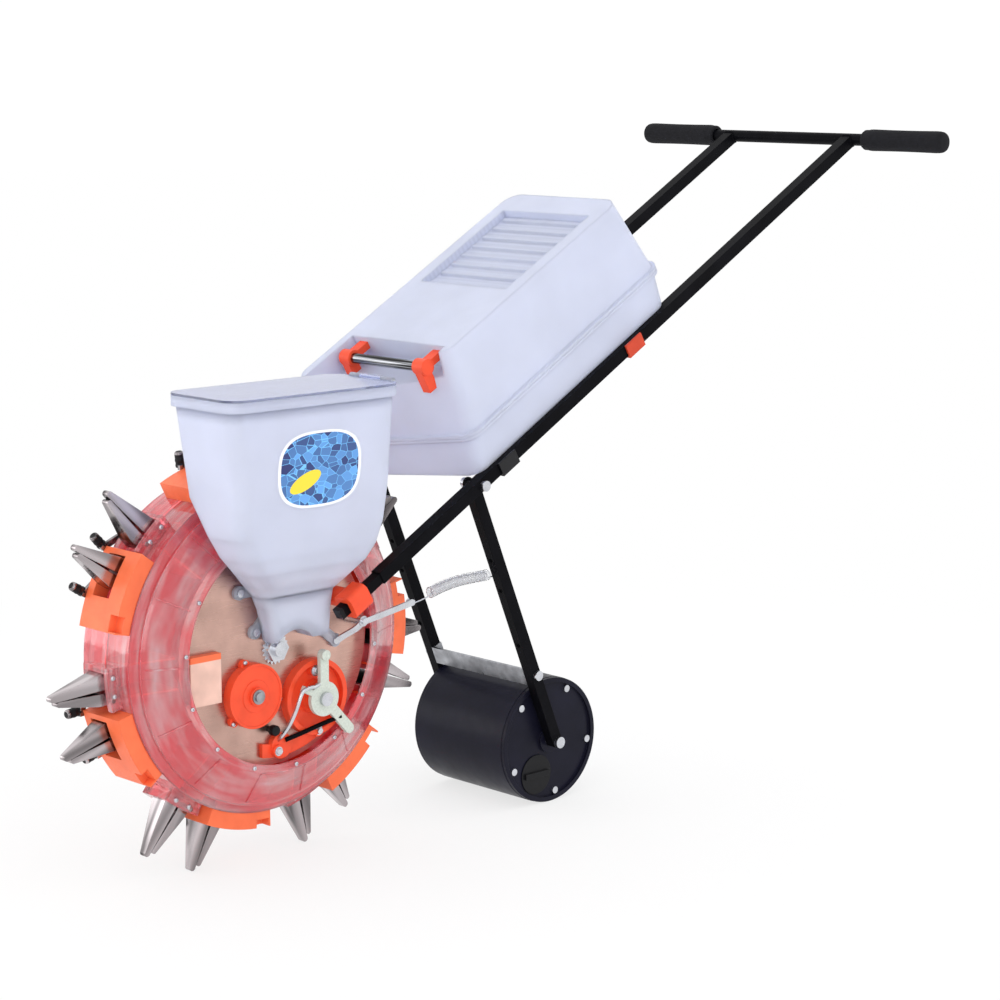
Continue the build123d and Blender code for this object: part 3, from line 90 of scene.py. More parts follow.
# Hub: meter shafts, ears of their housings, lower bracket, post of the clutch housing, the bracket's knob,
# the axle's toothed washers and the scoop's pane.
METER_X, METER_Y, METER_Z = 40.9, 80.1, -54.3
EAR_R, EAR_Y, EAR_ANGLES = 45.5, 68.0, (75.0, 195.0, 315.0)
BRACKET_R, BRACKET_Y, BRACKET_ANGLES = 133.0, 74.0, (-88.0, -118.0)
POST_PLACE, KNOB_PLACE = (-55.0, 78.0, -36.0), (12.0, 70.0, -104.0)
WASHER_FROM, WASHER_TO, WASHER_R, WASHER_TOOTH, WASHER_TEETH = 62.05, 64.0, 19.5, 1.8, 20
PANE_DROP, PANE_HALF = 30.0, 32.0

# Clutch linkage and the strap of the spring stay: points that they pass through, and where the link bends.
LINK_ROUTE = (
    (-52.0, 88.0, -52.0), (-43.0, 91.0, -53.0), (-28.0, 94.0, -52.5), (-19.5, 94.0, -56.0),
    (-15.0, 93.0, -66.0), (-11.5, 90.0, -80.0), (-6.0, 84.0, -98.0), (-1.0, 76.0, -112.0),
    (1.0, 68.0, -120.0),
)
LINK_TOP, LINK_FOOT = (-26.0, 94.0, -56.0), (-3.0, 80.0, -105.0)
ROD_ROUTE = ((-9.0, 71.0, -121.0), (-30.0, 77.0, -115.0), (-55.0, 82.0, -108.0), (-88.0, 88.0, -100.0))
STRAP_ROUTE = ((-122.0, 94.5, 22.0), (-114.0, 90.0, 13.0), (-104.0, 76.0, 2.0), (-97.0, 69.0, -5.0))
STRAP_WIDE, STRAP_THICK = 4.5, 1.2

# Frame: front ends of the rods, handlebar, square tubes, their bolts, the tank's front clip and the welds.
FOOT_BACK, FOOT_RISE = 66.0, 46.0
BAR_BACK, BAR_HEIGHT, BAR_HALF, BAR_R = 1068.0, 909.5, 294.0, 9.0
TUBE_Y, TUBE_HALF = 117.0, 8.5
TUBE_RUN, TUBE_CLIMB = BAR_BACK - FOOT_BACK, BAR_HEIGHT - AXLE[2] - FOOT_RISE
TILT = math.atan2(TUBE_CLIMB, TUBE_RUN)
TUBE_BOLTS_U = (92.0, 295.0, 581.0)
FRONT_CLIP_U, FRONT_CLIP_REACH = 330.0, 60.0
WELD_R, WELD_RIPPLE, WELD_RIPPLES, WELD_PROUD, WELD_POWER = 1.5, 0.3, 26.0, 0.3, 0.35

# Tank lid: middle of its panel along the tubes, half length, half width, and the pitch of its fine flutes.
PANEL_U, PANEL_HALF_LONG, PANEL_HALF_WIDE, PANEL_FLUTE = 564.0, 91.0, 85.0, 8.0

# Hopper: its left face, which leans outwards by FACE_OUT over a rise of FACE_UP, and the label on it.
FACE_Y, FACE_Z, FACE_OUT, FACE_UP = 174.0, 211.0, 10.0, 129.0
LABEL_X, LABEL_Z, LABEL_POWER = 16.0, 247.0, 0.7

# Pull spring: its plane, its front stud, the arms' pivot, the roller's axle, its rear stud down the arm from
# the pivot, the coiled stretch from the front stud, the arch, the slack of the hooks on the studs, how far past
# the coil the wire starts to bend, and the wall of the hose.
SPRING_Y, STUD_X, STUD_Z, STUD_R = 91.0, -205.0, 35.0, 3.0
PIVOT_U, PIVOT_W = 278.0, -2.0
ROLLER_X, ROLLER_HEIGHT = -466.0, 89.0
STUD_DOWN = 140.0
COIL_FROM, COIL_LONG, SPRING_BOW = 43.0, 94.0, 6.0
HOOK_SLACK, BEND_PAST, HOSE_WALL = 0.3, 6.0, 1.2

# Profiles. Grip: share of its length and of its radius. Screws and bumper: shares of radius and height.
# Meter cap and knob: radius and height.
GRIP_PROFILE = (
    (0, 0.63), (0, 0.86), (0.012, 0.93), (0.03, 0.94), (0.06, 0.94), (0.075, 0.985), (0.1, 1), (0.2, 0.99),
    (0.35, 0.975), (0.5, 0.97), (0.65, 0.975), (0.8, 0.99), (0.9, 1), (0.94, 0.985), (0.97, 0.94),
    (0.985, 0.87), (0.995, 0.72), (1, 0.5), (1, 0),
)
GRIP_FLUTES, GRIP_FLUTE_DEPTH = 40, 0.35
PAN_HEAD = (
    (0.0, -0.4), (1.0, -0.4), (1.0, 0.45), (0.93, 0.72), (0.72, 0.93), (0.42, 1.0), (0.36, 0.55), (0.0, 0.5),
)
HEX_HEAD = ((0.0, 0.0), (1.0, 0.0), (1.0, 0.86), (0.88, 1.0), (0.0, 1.0))
HEX_WASHER = ((0.0, -0.3), (1.35, -0.3), (1.35, 0.2), (0.0, 0.2))
BUMPER = (
    (0, 0), (1, 0), (1.03, 0.06), (1.03, 0.16), (0.96, 0.2), (0.96, 0.34), (1.02, 0.38), (1.02, 0.48),
    (0.96, 0.52), (0.97, 0.78), (0.86, 0.92), (0.6, 0.99), (0, 1),
)
METER_CAP = ((0, 0), (9.5, 0), (9.5, 1.6), (6.6, 1.8), (6.6, 4.6), (5.2, 5.4), (0, 5.6))
KNOB = ((0, -8), (4, -8), (4, 0), (6.5, 0), (7, 1), (7, 8), (6, 9.5), (3, 10), (0, 10))

# Stage, in metres, watts and degrees: each lamp's name, place, size and power, the point they shine at, the
# world's strength as light and as seen, the camera's place, turn, rise, lens and sensor in millimetres, the
# floor's radii in millimetres and its level, just under the ground.
LAMPS = (
    ("key", (1.2, 3.6, 3.2), 2.6, 11.0),
    ("fill", (3.8, 0.2, 1.4), 2.2, 5.0),
    ("low", (2.9, 3.2, 0.5), 1.8, 18.0),
    ("side", (2.8, -2.2, 0.6), 2.0, 20.0),
    ("rim", (-2.8, 1.6, 2.6), 2.0, 9.0),
)
LAMP_TARGET = (0.0, 0.0, 0.45)
WORLD_LIGHT, WORLD_SEEN = 1.1, 1.02
CAMERA_PLACE = (2.47583, 2.67001, 1.0464)
CAMERA_TURN, CAMERA_RISE = 136.4, 9.651
CAMERA_LENS, CAMERA_SENSOR, CAMERA_FAR = 95.97, 36.0, 100.0
FLOOR_RADII, FLOOR_Z = (0.0, 1000.0, 2000.0, 4000.0, 9000.0, 20000.0), -0.3


def linear(code):
    """sRGB hex code as linear red, green, blue and full alpha."""
    parts = np.array([int(code[i:i + 2], 16) / 255.0 for i in (1, 3, 5)])
    light = np.where(parts <= 0.04045, parts / 12.92, ((parts + 0.055) / 1.055) ** 2.4)
    return (*light.tolist(), 1.0)


def length(name, text, millimetres):
    """A length property in metres, given in millimetres."""
    return bpy.props.FloatProperty(
        name=name, description=text, default=millimetres * MM, min=0.0, unit="LENGTH"
    )


def shade(name, text, code):
    """A colour property, given as an sRGB hex code."""
    return bpy.props.FloatVectorProperty(
        name=name, description=text, default=linear(code), size=4, min=0.0, max=1.0, subtype="COLOR"
    )


class PlanterSizes(bpy.types.PropertyGroup):
    grip_radius: length("Grip radius", "Outer radius of a foam grip", 16.0)
    grip_length: length("Grip length", "Length of a foam grip along the bar", 146.0)
    bumper_radius: length("Bumper radius", "Rubber bumper on a flap lever", 6.3)
    bumper_height: length("Bumper height", "Rubber bumper above its lever", 20.6)
    screw_radius: length("Screw head radius", "Pan head of the small screws", 3.6)
    rib_width: length("Cover rib width", "Moulded rib on a clear side cover", 2.4)
    rib_height: length("Cover rib height", "Rib above the side cover's skin", 1.3)
    link_radius: length("Link wire radius", "Bent wire from the lever to the bracket", 2.7)
    rod_radius: length("Push rod radius", "Black rod from the bracket to the lever", 3.0)
    spring_radius: length("Spring radius", "Middle of the wire from the spring's axis", 5.2)
    spring_wire: length("Spring wire radius", "Wire of the pull spring", 0.9)
    sleeve_radius: length("Sleeve radius", "Clear hose round the spring", 7.7)
    spring_turns: bpy.props.IntProperty(name="Spring turns", description="Turns of the coil", default=27, min=1)
    label_width: length("Label width", "Picture label on the hopper", 132.0)
    label_height: length("Label height", "Picture label on the hopper", 96.0)


class PlanterColours(bpy.types.PropertyGroup):
    coat: shade("Powder coat", "Frame and arms", "#08080B")
    enamel: shade("Enamel", "Press roller", "#10101D")
    foam: shade("Foam rubber", "Grips and bumpers", "#15151A")
    orange: shade("Orange plastic", "Housings, brackets and clamps", "#F9522E")
    seat: shade("Seat plastic", "Beak seats and the scoop's lip", "#FF7448")
    pane: shade("Scoop pane", "Pale lower part of the seed scoop", "#EFC4B4")
    cloud: shade("Web clouds", "Deeper places of the disc between the side covers", "#F2262A")
    web: shade("Web plastic", "Disc between the side covers", "#FFB0B8")
    clear: shade("Clear plastic", "Deep streaks of the side covers and bosses", "#FF747F")
    # Pale colour of the covers: its streaks are painted glints, and it also tints the lamplight that passes
    # through them.
    pale_tint_and_painted_glint: shade("Pale clear plastic", "Pale streaks of the side covers and bosses", "#FFEEF1")
    milky: shade("Milky plastic", "Hopper and tank", "#E6EAF8")
    lid: shade("Lid plastic", "Clear hopper lid", "#D4DBFF")
    hose: shade("Hose plastic", "Clear hose and the label's border", "#F4F5FA")
    nylon: shade("Grey nylon", "Clutch lever, gears and rollers", "#CDD5CB")
    stainless: shade("Stainless sheet", "Hub plates", "#D3AC9F")
    beak: shade("Beak steel", "Beaks and flaps", "#BAB2B4")
    zinc: shade("Zinc plate", "Bolts, screws, spring and bare metal", "#D2D4DA")
    label_dark: shade("Label dark", "Deep colour of the label", "#071C66")
    label_light: shade("Label light", "Light colour of the label", "#62A8F0")
    label_leaf: shade("Label leaf", "Leaf on the label", "#F4DC2C")


def from_axle(x, y, z):
    """Points given forward, left and up from the axle's middle, in millimetres."""
    return np.stack(np.broadcast_arrays(AXLE[0] + x, y, AXLE[2] + z), axis=-1)


def on_wheel(angle, out, y, ahead):
    """Points given by a station's angle in degrees, outwards, left and towards growing angles."""
    c, s = np.cos(np.radians(angle)), np.sin(np.radians(angle))
    return from_axle(out * c - ahead * s, y, out * s + ahead * c)


def on_deck(u, y, w):
    """Points given along the square tubes from the rods' front ends, left and above the tubes' axis."""
    c, s = math.cos(TILT), math.sin(TILT)
    return from_axle(-FOOT_BACK - u * c + w * s, y, FOOT_RISE + u * s + w * c)


ALONG_TUBES = on_deck(1.0, 0.0, 0.0) - on_deck(0.0, 0.0, 0.0)
BELOW_TUBES = on_deck(0.0, 0.0, -1.0) - on_deck(0.0, 0.0, 0.0)


def unit(v):
    """Directions with length one."""
    v = np.asarray(v, float)
    return v / np.linalg.norm(v, axis=-1, keepdims=True)


def once_round(count):
    """Angles spread evenly over a full turn, without its end."""
    return np.linspace(0.0, ROUND, count, endpoint=False)


def patch(grid, wrap=False, caps=False):
    """Points and four-sided faces of a grid. Wrap joins the last column to the first; caps draw the first
    and last rows in to their middles."""
    grid = np.asarray(grid, float)
    if caps:
        ends = [np.broadcast_to(grid[i].mean(axis=0), grid[i].shape)[None] for i in (0, -1)]
        grid = np.concatenate([ends[0], grid, ends[1]])
    ids = np.arange(grid.shape[0] * grid.shape[1]).reshape(grid.shape[:2])
    ring = np.concatenate([ids, ids[:, :1]], axis=1) if wrap else ids
    faces = np.stack([ring[:-1, :-1], ring[:-1, 1:], ring[1:, 1:], ring[1:, :-1]], axis=-1)
    return grid.reshape(-1, 3), faces.reshape(-1, 4)


def lathe(profile, origin, axis, sides=20):
    """Turned surface: origin + height * axis + radius * (cos t, sin t) across the axis, for each
    (radius, height) of the profile and t once round."""
    radius, height = np.array(profile, float).T
    axis = unit(axis)
    across = unit(np.cross(axis, (0.0, 0.0, 1.0) if abs(axis[2]) < 0.9 else (1.0, 0.0, 0.0)))
    t = once_round(sides)[:, None]
    ring = np.cos(t) * across + np.sin(t) * np.cross(axis, across)
    return patch(origin + height[:, None, None] * axis + radius[:, None, None] * ring, wrap=True)


def tube(path, radius, up, sides=12):
    """Circle carried along a path: path + radius * (cos t * n + sin t * b), n square to the path and to up."""
    path = np.asarray(path, float)
    way = unit(np.gradient(path, axis=0))
    n = unit(np.cross(way, up))
    b = np.cross(way, n)
    t = once_round(sides)
    ring = np.cos(t)[:, None] * n[:, None] + np.sin(t)[:, None] * b[:, None]
    return patch(path[:, None] + np.reshape(radius, (-1, 1, 1)) * ring, wrap=True, caps=True)


def swept(path, side, out, outline):
    """Closed outline carried along a path: path + a * side + b * out for each (a, b) of the outline."""
    a, b = np.array(outline, float).T
    grid = path[:, None] + a[:, None] * side[:, None] + b[:, None] * out[:, None]
    return patch(grid, wrap=True, caps=True)


def curve(route, steps=16):
    """Smooth path through points given from the axle's middle: cubic pieces whose slopes are half the step
    between the neighbours."""
    p = from_axle(*np.transpose(route))
    slope = np.gradient(p, axis=0)
    t = np.linspace(0.0, 1.0, steps, endpoint=False)[None, :, None]
    a, b, m0, m1 = p[:-1, None], p[1:, None], slope[:-1, None], slope[1:, None]
    path = (
        (2 * t**3 - 3 * t**2 + 1) * a
        + (t**3 - 2 * t**2 + t) * m0
        + (3 * t**2 - 2 * t**3) * b
        + (t**3 - t**2) * m1
    )
    return np.concatenate([path.reshape(-1, 3), p[-1:]])


def piece(name, patches, finish, body=None, sharp=38.0):
    """One object from patches in millimetres: doubles merged, faces outwards, smooth up to the sharp angle."""
    starts = np.cumsum([0] + [len(points) for points, _ in patches])
    points = np.concatenate([p for p, _ in patches]) * MM
    faces = np.concatenate([f + start for (_, f), start in zip(patches, starts)])
    mesh = bpy.data.meshes.new(name)
    mesh.from_pydata(points, [], faces)
    work = bmesh.new()
    work.from_mesh(mesh)
    bmesh.ops.remove_doubles(work, verts=work.verts, dist=1e-6)
    bmesh.ops.recalc_face_normals(work, faces=work.faces)
    work.to_mesh(mesh)
    work.free()
    mesh.shade_smooth()
    mesh.set_sharp_from_angle(angle=math.radians(sharp))
    mesh.materials.append(material(finish))
    made = bpy.data.objects.new(name, mesh)
    bpy.context.scene.collection.objects.link(made)
    if body:
        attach(made, body)
    return made


def pan_heads(places, axis, radius, height):
    """Pan head screws: a domed disc with a round recess, turned about the axis at each place."""
    profile = np.array(PAN_HEAD) * (radius, height)
    return [lathe(profile, place, axis, sides=16) for place in np.reshape(places, (-1, 3))]


def hex_heads(places, axis, radius, height):
    """Hexagon heads on washers, turned with six sides about the axis at each place."""
    head, washer = np.array(HEX_HEAD) * (radius, height), np.array(HEX_WASHER) * (radius, height)
    places = np.reshape(places, (-1, 3))
    heads = [lathe(head, place, axis, sides=6) for place in places]
    return heads + [lathe(washer, place, axis, sides=24) for place in places]


def add(tree, kind, values=None, links=None):
    """Add a node, set its options and sockets by name or number, and link sockets to its inputs."""
    node = tree.nodes.new(kind)
    for key, value in (values or {}).items():
        if isinstance(key, str) and key not in node.inputs:
            setattr(node, key, value)
        else:
            node.inputs[key].default_value = value
    for key, socket in (links or {}).items():
        tree.links.new(socket, node.inputs[key])
    return node


def begin(name, values):
    """A new material with its surface shader, output and Object coordinates."""
    made = bpy.data.materials.new(name)
    made.use_nodes = True
    tree = made.node_tree
    tree.nodes.clear()
    surface = add(tree, "ShaderNodeBsdfPrincipled", values)
    add(tree, "ShaderNodeOutputMaterial", links={"Surface": surface.outputs[0]})
    place = add(tree, "ShaderNodeTexCoord").outputs["Object"]
    return made, tree, surface, place


def show(tree, shader):
    """Join another shader to the material's output in place of the first."""
    out = next(n for n in tree.nodes if n.type == "OUTPUT_MATERIAL")
    tree.links.new(shader.outputs[0], out.inputs["Surface"])


def dim(colour, factor):
    """The same colour darker or lighter by a factor, at most white."""
    return (*(min(1.0, c * factor) for c in colour[:3]), 1.0)


def waver(tree, place, size, low, high, detail=3.0):
    """A value that wavers between two levels over patches of the given size in millimetres."""
    cloud = add(tree, "ShaderNodeTexNoise", {"Scale": 1 / (size * MM), "Detail": detail}, {"Vector": place})
    span = {"From Min": 0.25, "From Max": 0.75, "To Min": low, "To Max": high}
    return add(tree, "ShaderNodeMapRange", span, {"Value": cloud.outputs[0]}).outputs[0]


def clouded(tree, place, size, first, second, low=0.0, high=1.0, detail=3.0):
    """A colour that clouds from the first to the second over patches of the given size in millimetres. A low
    level under 0 or a high level over 1 leaves places of one plain colour."""
    share = waver(tree, place, size, low, high, detail)
    return add(tree, "ShaderNodeMix", {**MIX_COLOURS, 6: first, 7: second}, {0: share}).outputs[2]


def skin(tree, surface, colour, dull=None, height=None, depth=0.2, edge=None):
    """Join colour and roughness to the surface, with fine relief of a depth and edges rounded over a width,
    both in millimetres."""
    tree.links.new(colour, surface.inputs["Base Color"])
    if dull is not None:
        tree.links.new(dull, surface.inputs["Roughness"])
    normal = add(tree, "ShaderNodeBevel", {"samples": 4, "Radius": edge * MM}).outputs[0] if edge else None
    if height is not None:
        links = {"Height": height} if normal is None else {"Height": height, "Normal": normal}
        normal = add(tree, "ShaderNodeBump", {"Strength": 0.4, "Distance": depth * MM}, links).outputs[0]
    if normal is not None:
        tree.links.new(normal, surface.inputs["Normal"])


def let_light(tree, surface, colour):
    """Lamps shine through the plastic: shadow rays meet a plain see-through surface."""
    rays = add(tree, "ShaderNodeLightPath")
    through = add(tree, "ShaderNodeBsdfTransparent", {"Color": colour})
    links = {0: rays.outputs["Is Shadow Ray"], 1: surface.outputs[0], 2: through.outputs[0]}
    show(tree, add(tree, "ShaderNodeMixShader", links=links))


def about_axle(tree, place, turn, out):
    """Coordinates for streaks about the axle: turn * direction from the axle, with y + out * radius across it.
    A small turn draws the streaks out round the wheel, a small out draws them outwards."""
    hub = (AXLE[0] * MM, 0.0, AXLE[2] * MM)
    centred = add(tree, "ShaderNodeVectorMath", {"operation": "SUBTRACT", 1: hub}, {0: place}).outputs[0]
    upright = {"operation": "MULTIPLY", 1: (1.0, 0.0, 1.0)}
    flat = add(tree, "ShaderNodeVectorMath", upright, {0: centred}).outputs[0]
    way = add(tree, "ShaderNodeVectorMath", {"operation": "NORMALIZE"}, {0: flat}).outputs[0]
    reach = add(tree, "ShaderNodeVectorMath", {"operation": "LENGTH"}, {0: flat}).outputs["Value"]
    side = add(tree, "ShaderNodeSeparateXYZ", links={0: centred}).outputs["Y"]
    scaled = {"operation": "MULTIPLY_ADD", 1: out}
    across = add(tree, "ShaderNodeMath", scaled, {0: reach, 2: side}).outputs[0]
    lift = add(tree, "ShaderNodeCombineXYZ", links={1: across}).outputs[0]
    turned = {"operation": "MULTIPLY_ADD", 1: (turn, turn, turn)}
    return add(tree, "ShaderNodeVectorMath", turned, {0: way, 2: lift}).outputs[0]


def powder_coated_steel(colours):
    """Polyester powder baked on steel: near black, satin, with a fine orange peel and a little dust."""
    values = {"Roughness": 0.4, "IOR": 1.2, "Specular IOR Level": 0.2}
    made, tree, surface, place = begin("powder_coated_steel", values)
    tone = clouded(tree, place, 35, colours.coat, dim(colours.coat, 2.2), detail=5.0)
    # Orange peel of a real 0.6 mm is too fine to show, so it is drawn at 1.8 mm.
    skin(tree, surface, tone, height=waver(tree, place, 1.8, 0.0, 1.0), depth=0.1, edge=1.2)
    return made


def enamelled_steel(colours):
    """Blue-black enamel on rolled sheet: smooth, half gloss, with shallow dents and a film of dust."""
    made, tree, surface, place = begin("enamelled_steel", {"IOR": 1.28, "Specular IOR Level": 0.35})
    tone = clouded(tree, place, 50, colours.enamel, dim(colours.enamel, 1.8), detail=5.0)
    dull, dents = waver(tree, place, 20, 0.28, 0.42, 5.0), waver(tree, place, 30, 0.0, 1.0, 2.0)
    skin(tree, surface, tone, dull, dents, depth=0.5, edge=1.2)
    return made


def rolled_steel(colours):
    """Bare rolled steel: mid-grey metal, dull, with dark patches of wear."""
    made, tree, surface, place = begin("rolled_steel", {"Metallic": 1.0})
    tone = clouded(tree, place, 18, dim(colours.zinc, 0.35), dim(colours.zinc, 0.8), detail=5.0)
    skin(tree, surface, tone, waver(tree, place, 8, 0.25, 0.45))
    return made


def foam_rubber(colours):
    """Black foam rubber, extruded and cut: matt, with fine open pores."""
    made, tree, surface, place = begin("foam_rubber", {"Roughness": 0.8, "Specular IOR Level": 0.25})
    pores = add(tree, "ShaderNodeTexVoronoi", {"Scale": 1 / (1.2 * MM)}, {"Vector": place})
    tone = clouded(tree, place, 6, dim(colours.foam, 0.7), dim(colours.foam, 1.3))
    skin(tree, surface, tone, height=pores.outputs["Distance"], depth=0.15)
    return made


def moulded_rubber(colours):
    """Solid black rubber, moulded: dark, dull, faintly dusty."""
    made, tree, surface, place = begin("moulded_rubber", {"Specular IOR Level": 0.3})
    tone = clouded(tree, place, 4, dim(colours.foam, 0.4), colours.foam, detail=4.0)
    skin(tree, surface, tone, waver(tree, place, 3, 0.4, 0.7))
    return made


def moulding(name, main, other=None, axis="Y", middle=0.0, reach=0.0):
    """Polypropylene, injection moulded: bright, with soft flow marks and a fine spark texture. Within a reach
    in millimetres of a middle along one axis the piece takes another pair of colours, in clouds."""
    made, tree, surface, place = begin(name, {"IOR": 1.45, "Specular IOR Level": 0.4})
    tone = clouded(tree, place, 28, dim(main, 0.84), dim(main, 1.1))
    if other:
        parts = add(tree, "ShaderNodeSeparateXYZ", links={0: place})
        within = {"operation": "COMPARE", 1: middle * MM, 2: reach * MM}
        near = add(tree, "ShaderNodeMath", within, {0: parts.outputs[axis]}).outputs[0]
        clouds = clouded(tree, place, 38, *other, -0.3, 1.3)
        tone = add(tree, "ShaderNodeMix", MIX_COLOURS, {0: near, 6: tone, 7: clouds}).outputs[2]
    spark = waver(tree, place, 1.4, 0.0, 1.0)
    skin(tree, surface, tone, waver(tree, place, 3, 0.3, 0.5), spark, depth=0.06, edge=1.2)
    return made


def orange_polypropylene(colours):
    """Housings, brackets and clamps: deep orange."""
    return moulding("orange_polypropylene", colours.orange)


def seat_polypropylene(colours):
    """Beak seats: a lighter orange."""
    return moulding("seat_polypropylene", colours.seat)


def clip_polypropylene(colours):
    """Tank clips: red-orange at the rear, black under the tank's front."""
    front = on_deck(FRONT_CLIP_U, 0.0, 0.0)[0]
    dark = (colours.coat, dim(colours.coat, 2.0))
    return moulding("clip_polypropylene", dim(colours.orange, 0.65), dark, "X", front, FRONT_CLIP_REACH)


def scoop_polypropylene(colours):
    """Seed scoop: an orange lip over a pale pane."""
    pale = (colours.pane, dim(colours.pane, 0.8))
    return moulding("scoop_polypropylene", colours.seat, pale, "Z", AXLE[2] - PANE_DROP, PANE_HALF)


def web_polypropylene(colours):
    """Web of the wheel: a pale pink disc clouded with red, and orange fins, seen through the covers."""
    return moulding("web_polypropylene", colours.orange, (colours.web, colours.cloud), "Y", 0.0, WEB_HALF)


def clear_polycarbonate(colours):
    """Clear polycarbonate, injection moulded: see-through with a pink cast, crossed round the wheel by pale
    streaks that are painted glints; glossy, with slow ripples that break its highlights."""
    values = {"Transmission Weight": 0.76, "IOR": 1.46, "Coat Weight": 0.8, "Coat Roughness": 0.04}
    made, tree, surface, place = begin("clear_polycarbonate", values)
    painted_reflection_streak = about_axle(tree, place, turn=0.02, out=1.0)
    # The pale streaks of this pink cast are painted glints, painted highlights round the wheel.
    tone = clouded(tree, painted_reflection_streak, 8, colours.clear, colours.pale_tint_and_painted_glint, -0.5, 1.0, 2.0)
    dull, ripples = waver(tree, place, 30, 0.02, 0.12), waver(tree, place, 22, 0.0, 1.0, 2.0)
    skin(tree, surface, tone, dull, ripples, depth=1.6)
    let_light(tree, surface, colours.pale_tint_and_painted_glint)
    return made


def clear_acrylic(colours):
    """Clear acrylic sheet, cut: a violet-grey cast that gathers at the edges, glossy faces, light scratches."""
    made, tree, surface, place = begin("clear_acrylic", {"Transmission Weight": 0.9, "IOR": 1.42})
    tone = clouded(tree, place, 60, colours.lid, dim(colours.lid, 1.1))
    skin(tree, surface, tone, waver(tree, place, 9, 0.03, 0.16, 6.0))
    let_light(tree, surface, colours.lid)
    return made


def soft_vinyl_hose(colours):
    """Clear vinyl hose: see-through with a faint haze and a wet gloss."""
    made, tree, surface, place = begin("soft_vinyl_hose", {"Transmission Weight": 0.72, "IOR": 1.42})
    tone = clouded(tree, place, 12, colours.hose, dim(colours.hose, 1.1))
    skin(tree, surface, tone, waver(tree, place, 6, 0.05, 0.14))
    let_light(tree, surface, colours.hose)
    return made


def milky(name, colours, edge, panel=None):
    """Natural polyethylene, blow moulded: milky, waxy, cool white, with thicker and thinner places. Edges and
    creases are rounded off over the given millimetres. A panel, given by its middle along the tubes, half
    length and half width, is painted a little darker as painted shade, with bands of painted shade for its
    fine flutes across the tubes."""
    values = {"Transmission Weight": 0.4, "IOR": 1.3, "Specular IOR Level": 0.4}
    made, tree, surface, place = begin(name, values)
    tone = clouded(tree, place, 90, dim(colours.milky, 0.94), dim(colours.milky, 1.04), detail=2.0)
    if panel:
        middle, long, wide = panel
        start = {"operation": "SUBTRACT", 1: tuple(on_deck(middle, 0.0, 0.0) * MM)}
        centred = add(tree, "ShaderNodeVectorMath", start, {0: place}).outputs[0]
        way = {"operation": "DOT_PRODUCT", 1: tuple(ALONG_TUBES)}
        along = add(tree, "ShaderNodeVectorMath", way, {0: centred}).outputs["Value"]
        across = add(tree, "ShaderNodeSeparateXYZ", links={0: place}).outputs["Y"]
        # Panel: one where both distances from its middle are within its half sizes.
        near, inside = (
            add(tree, "ShaderNodeMath", {"operation": "COMPARE", 1: 0.0, 2: half * MM}, {0: far}).outputs[0]
            for half, far in ((long, along), (wide, across))
        )
        both = add(tree, "ShaderNodeMath", {"operation": "MULTIPLY"}, {0: near, 1: inside}).outputs[0]
        # Painted shade of the flutes: a sine along the tubes between darker and lighter bands.
        pitch = {"operation": "MULTIPLY", 1: ROUND / (PANEL_FLUTE * MM)}
        turns = add(tree, "ShaderNodeMath", pitch, {0: along}).outputs[0]
        wave = add(tree, "ShaderNodeMath", {"operation": "SINE"}, {0: turns}).outputs[0]
        span = {"From Min": -1.0, "To Min": 0.0, "To Max": 1.0}
        level = add(tree, "ShaderNodeMapRange", span, {"Value": wave}).outputs[0]
        # The panel is painted darker than the rest of the plastic: painted shade of its fluted recess.
        pair = {**MIX_COLOURS, 6: dim(colours.milky, 0.9), 7: dim(colours.milky, 0.98)}
        painted_flute_shade = add(tree, "ShaderNodeMix", pair, {0: level}).outputs[2]
        tone = add(tree, "ShaderNodeMix", MIX_COLOURS, {0: both, 6: tone, 7: painted_flute_shade}).outputs[2]
    dull, grain = waver(tree, place, 12, 0.45, 0.6), waver(tree, place, 3, 0.0, 1.0)
    skin(tree, surface, tone, dull, grain, depth=0.05, edge=edge)
    let_light(tree, surface, colours.milky)
    return made


def milky_polyethylene(colours):
    """Tank and chute."""
    return milky("milky_polyethylene", colours, edge=4.0)


def lid_polyethylene(colours):
    """Tank lid with its fluted panel."""
    panel = (PANEL_U, PANEL_HALF_LONG, PANEL_HALF_WIDE)
    return milky("lid_polyethylene", colours, edge=5.0, panel=panel)


def hopper_polyethylene(colours):
    """Hopper: one smooth bulging skin without creases."""
    return milky("hopper_polyethylene", colours, edge=22.0)


def grey_nylon(colours):
    """Glass-filled nylon, moulded: pale grey with a green cast, dull, faintly speckled."""
    made, tree, surface, place = begin("grey_nylon", {"Specular IOR Level": 0.35})
    tone = clouded(tree, place, 2.5, dim(colours.nylon, 0.82), dim(colours.nylon, 1.12), detail=5.0)
    skin(tree, surface, tone, waver(tree, place, 4, 0.35, 0.55), edge=1.5)
    return made


def stainless_sheet(colours):
    """Stainless sheet, rolled and brushed: warm satin metal with long fine scratches and cloudy patches."""
    made, tree, surface, place = begin("stainless_sheet", {"Metallic": 1.0})
    # Brushing of a real 0.1 mm is too fine to show, so the scratches are drawn 1.2 mm apart and 60 mm long.
    along = add(tree, "ShaderNodeMapping", {"Scale": (0.02, 0.02, 1.0)}, {"Vector": place}).outputs[0]
    tone = clouded(tree, place, 45, dim(colours.stainless, 0.72), dim(colours.stainless, 1.1), detail=4.0)
    lines = waver(tree, along, 1.2, 0.0, 1.0)
    skin(tree, surface, tone, waver(tree, along, 1.2, 0.22, 0.42), lines, depth=0.06)
    return made


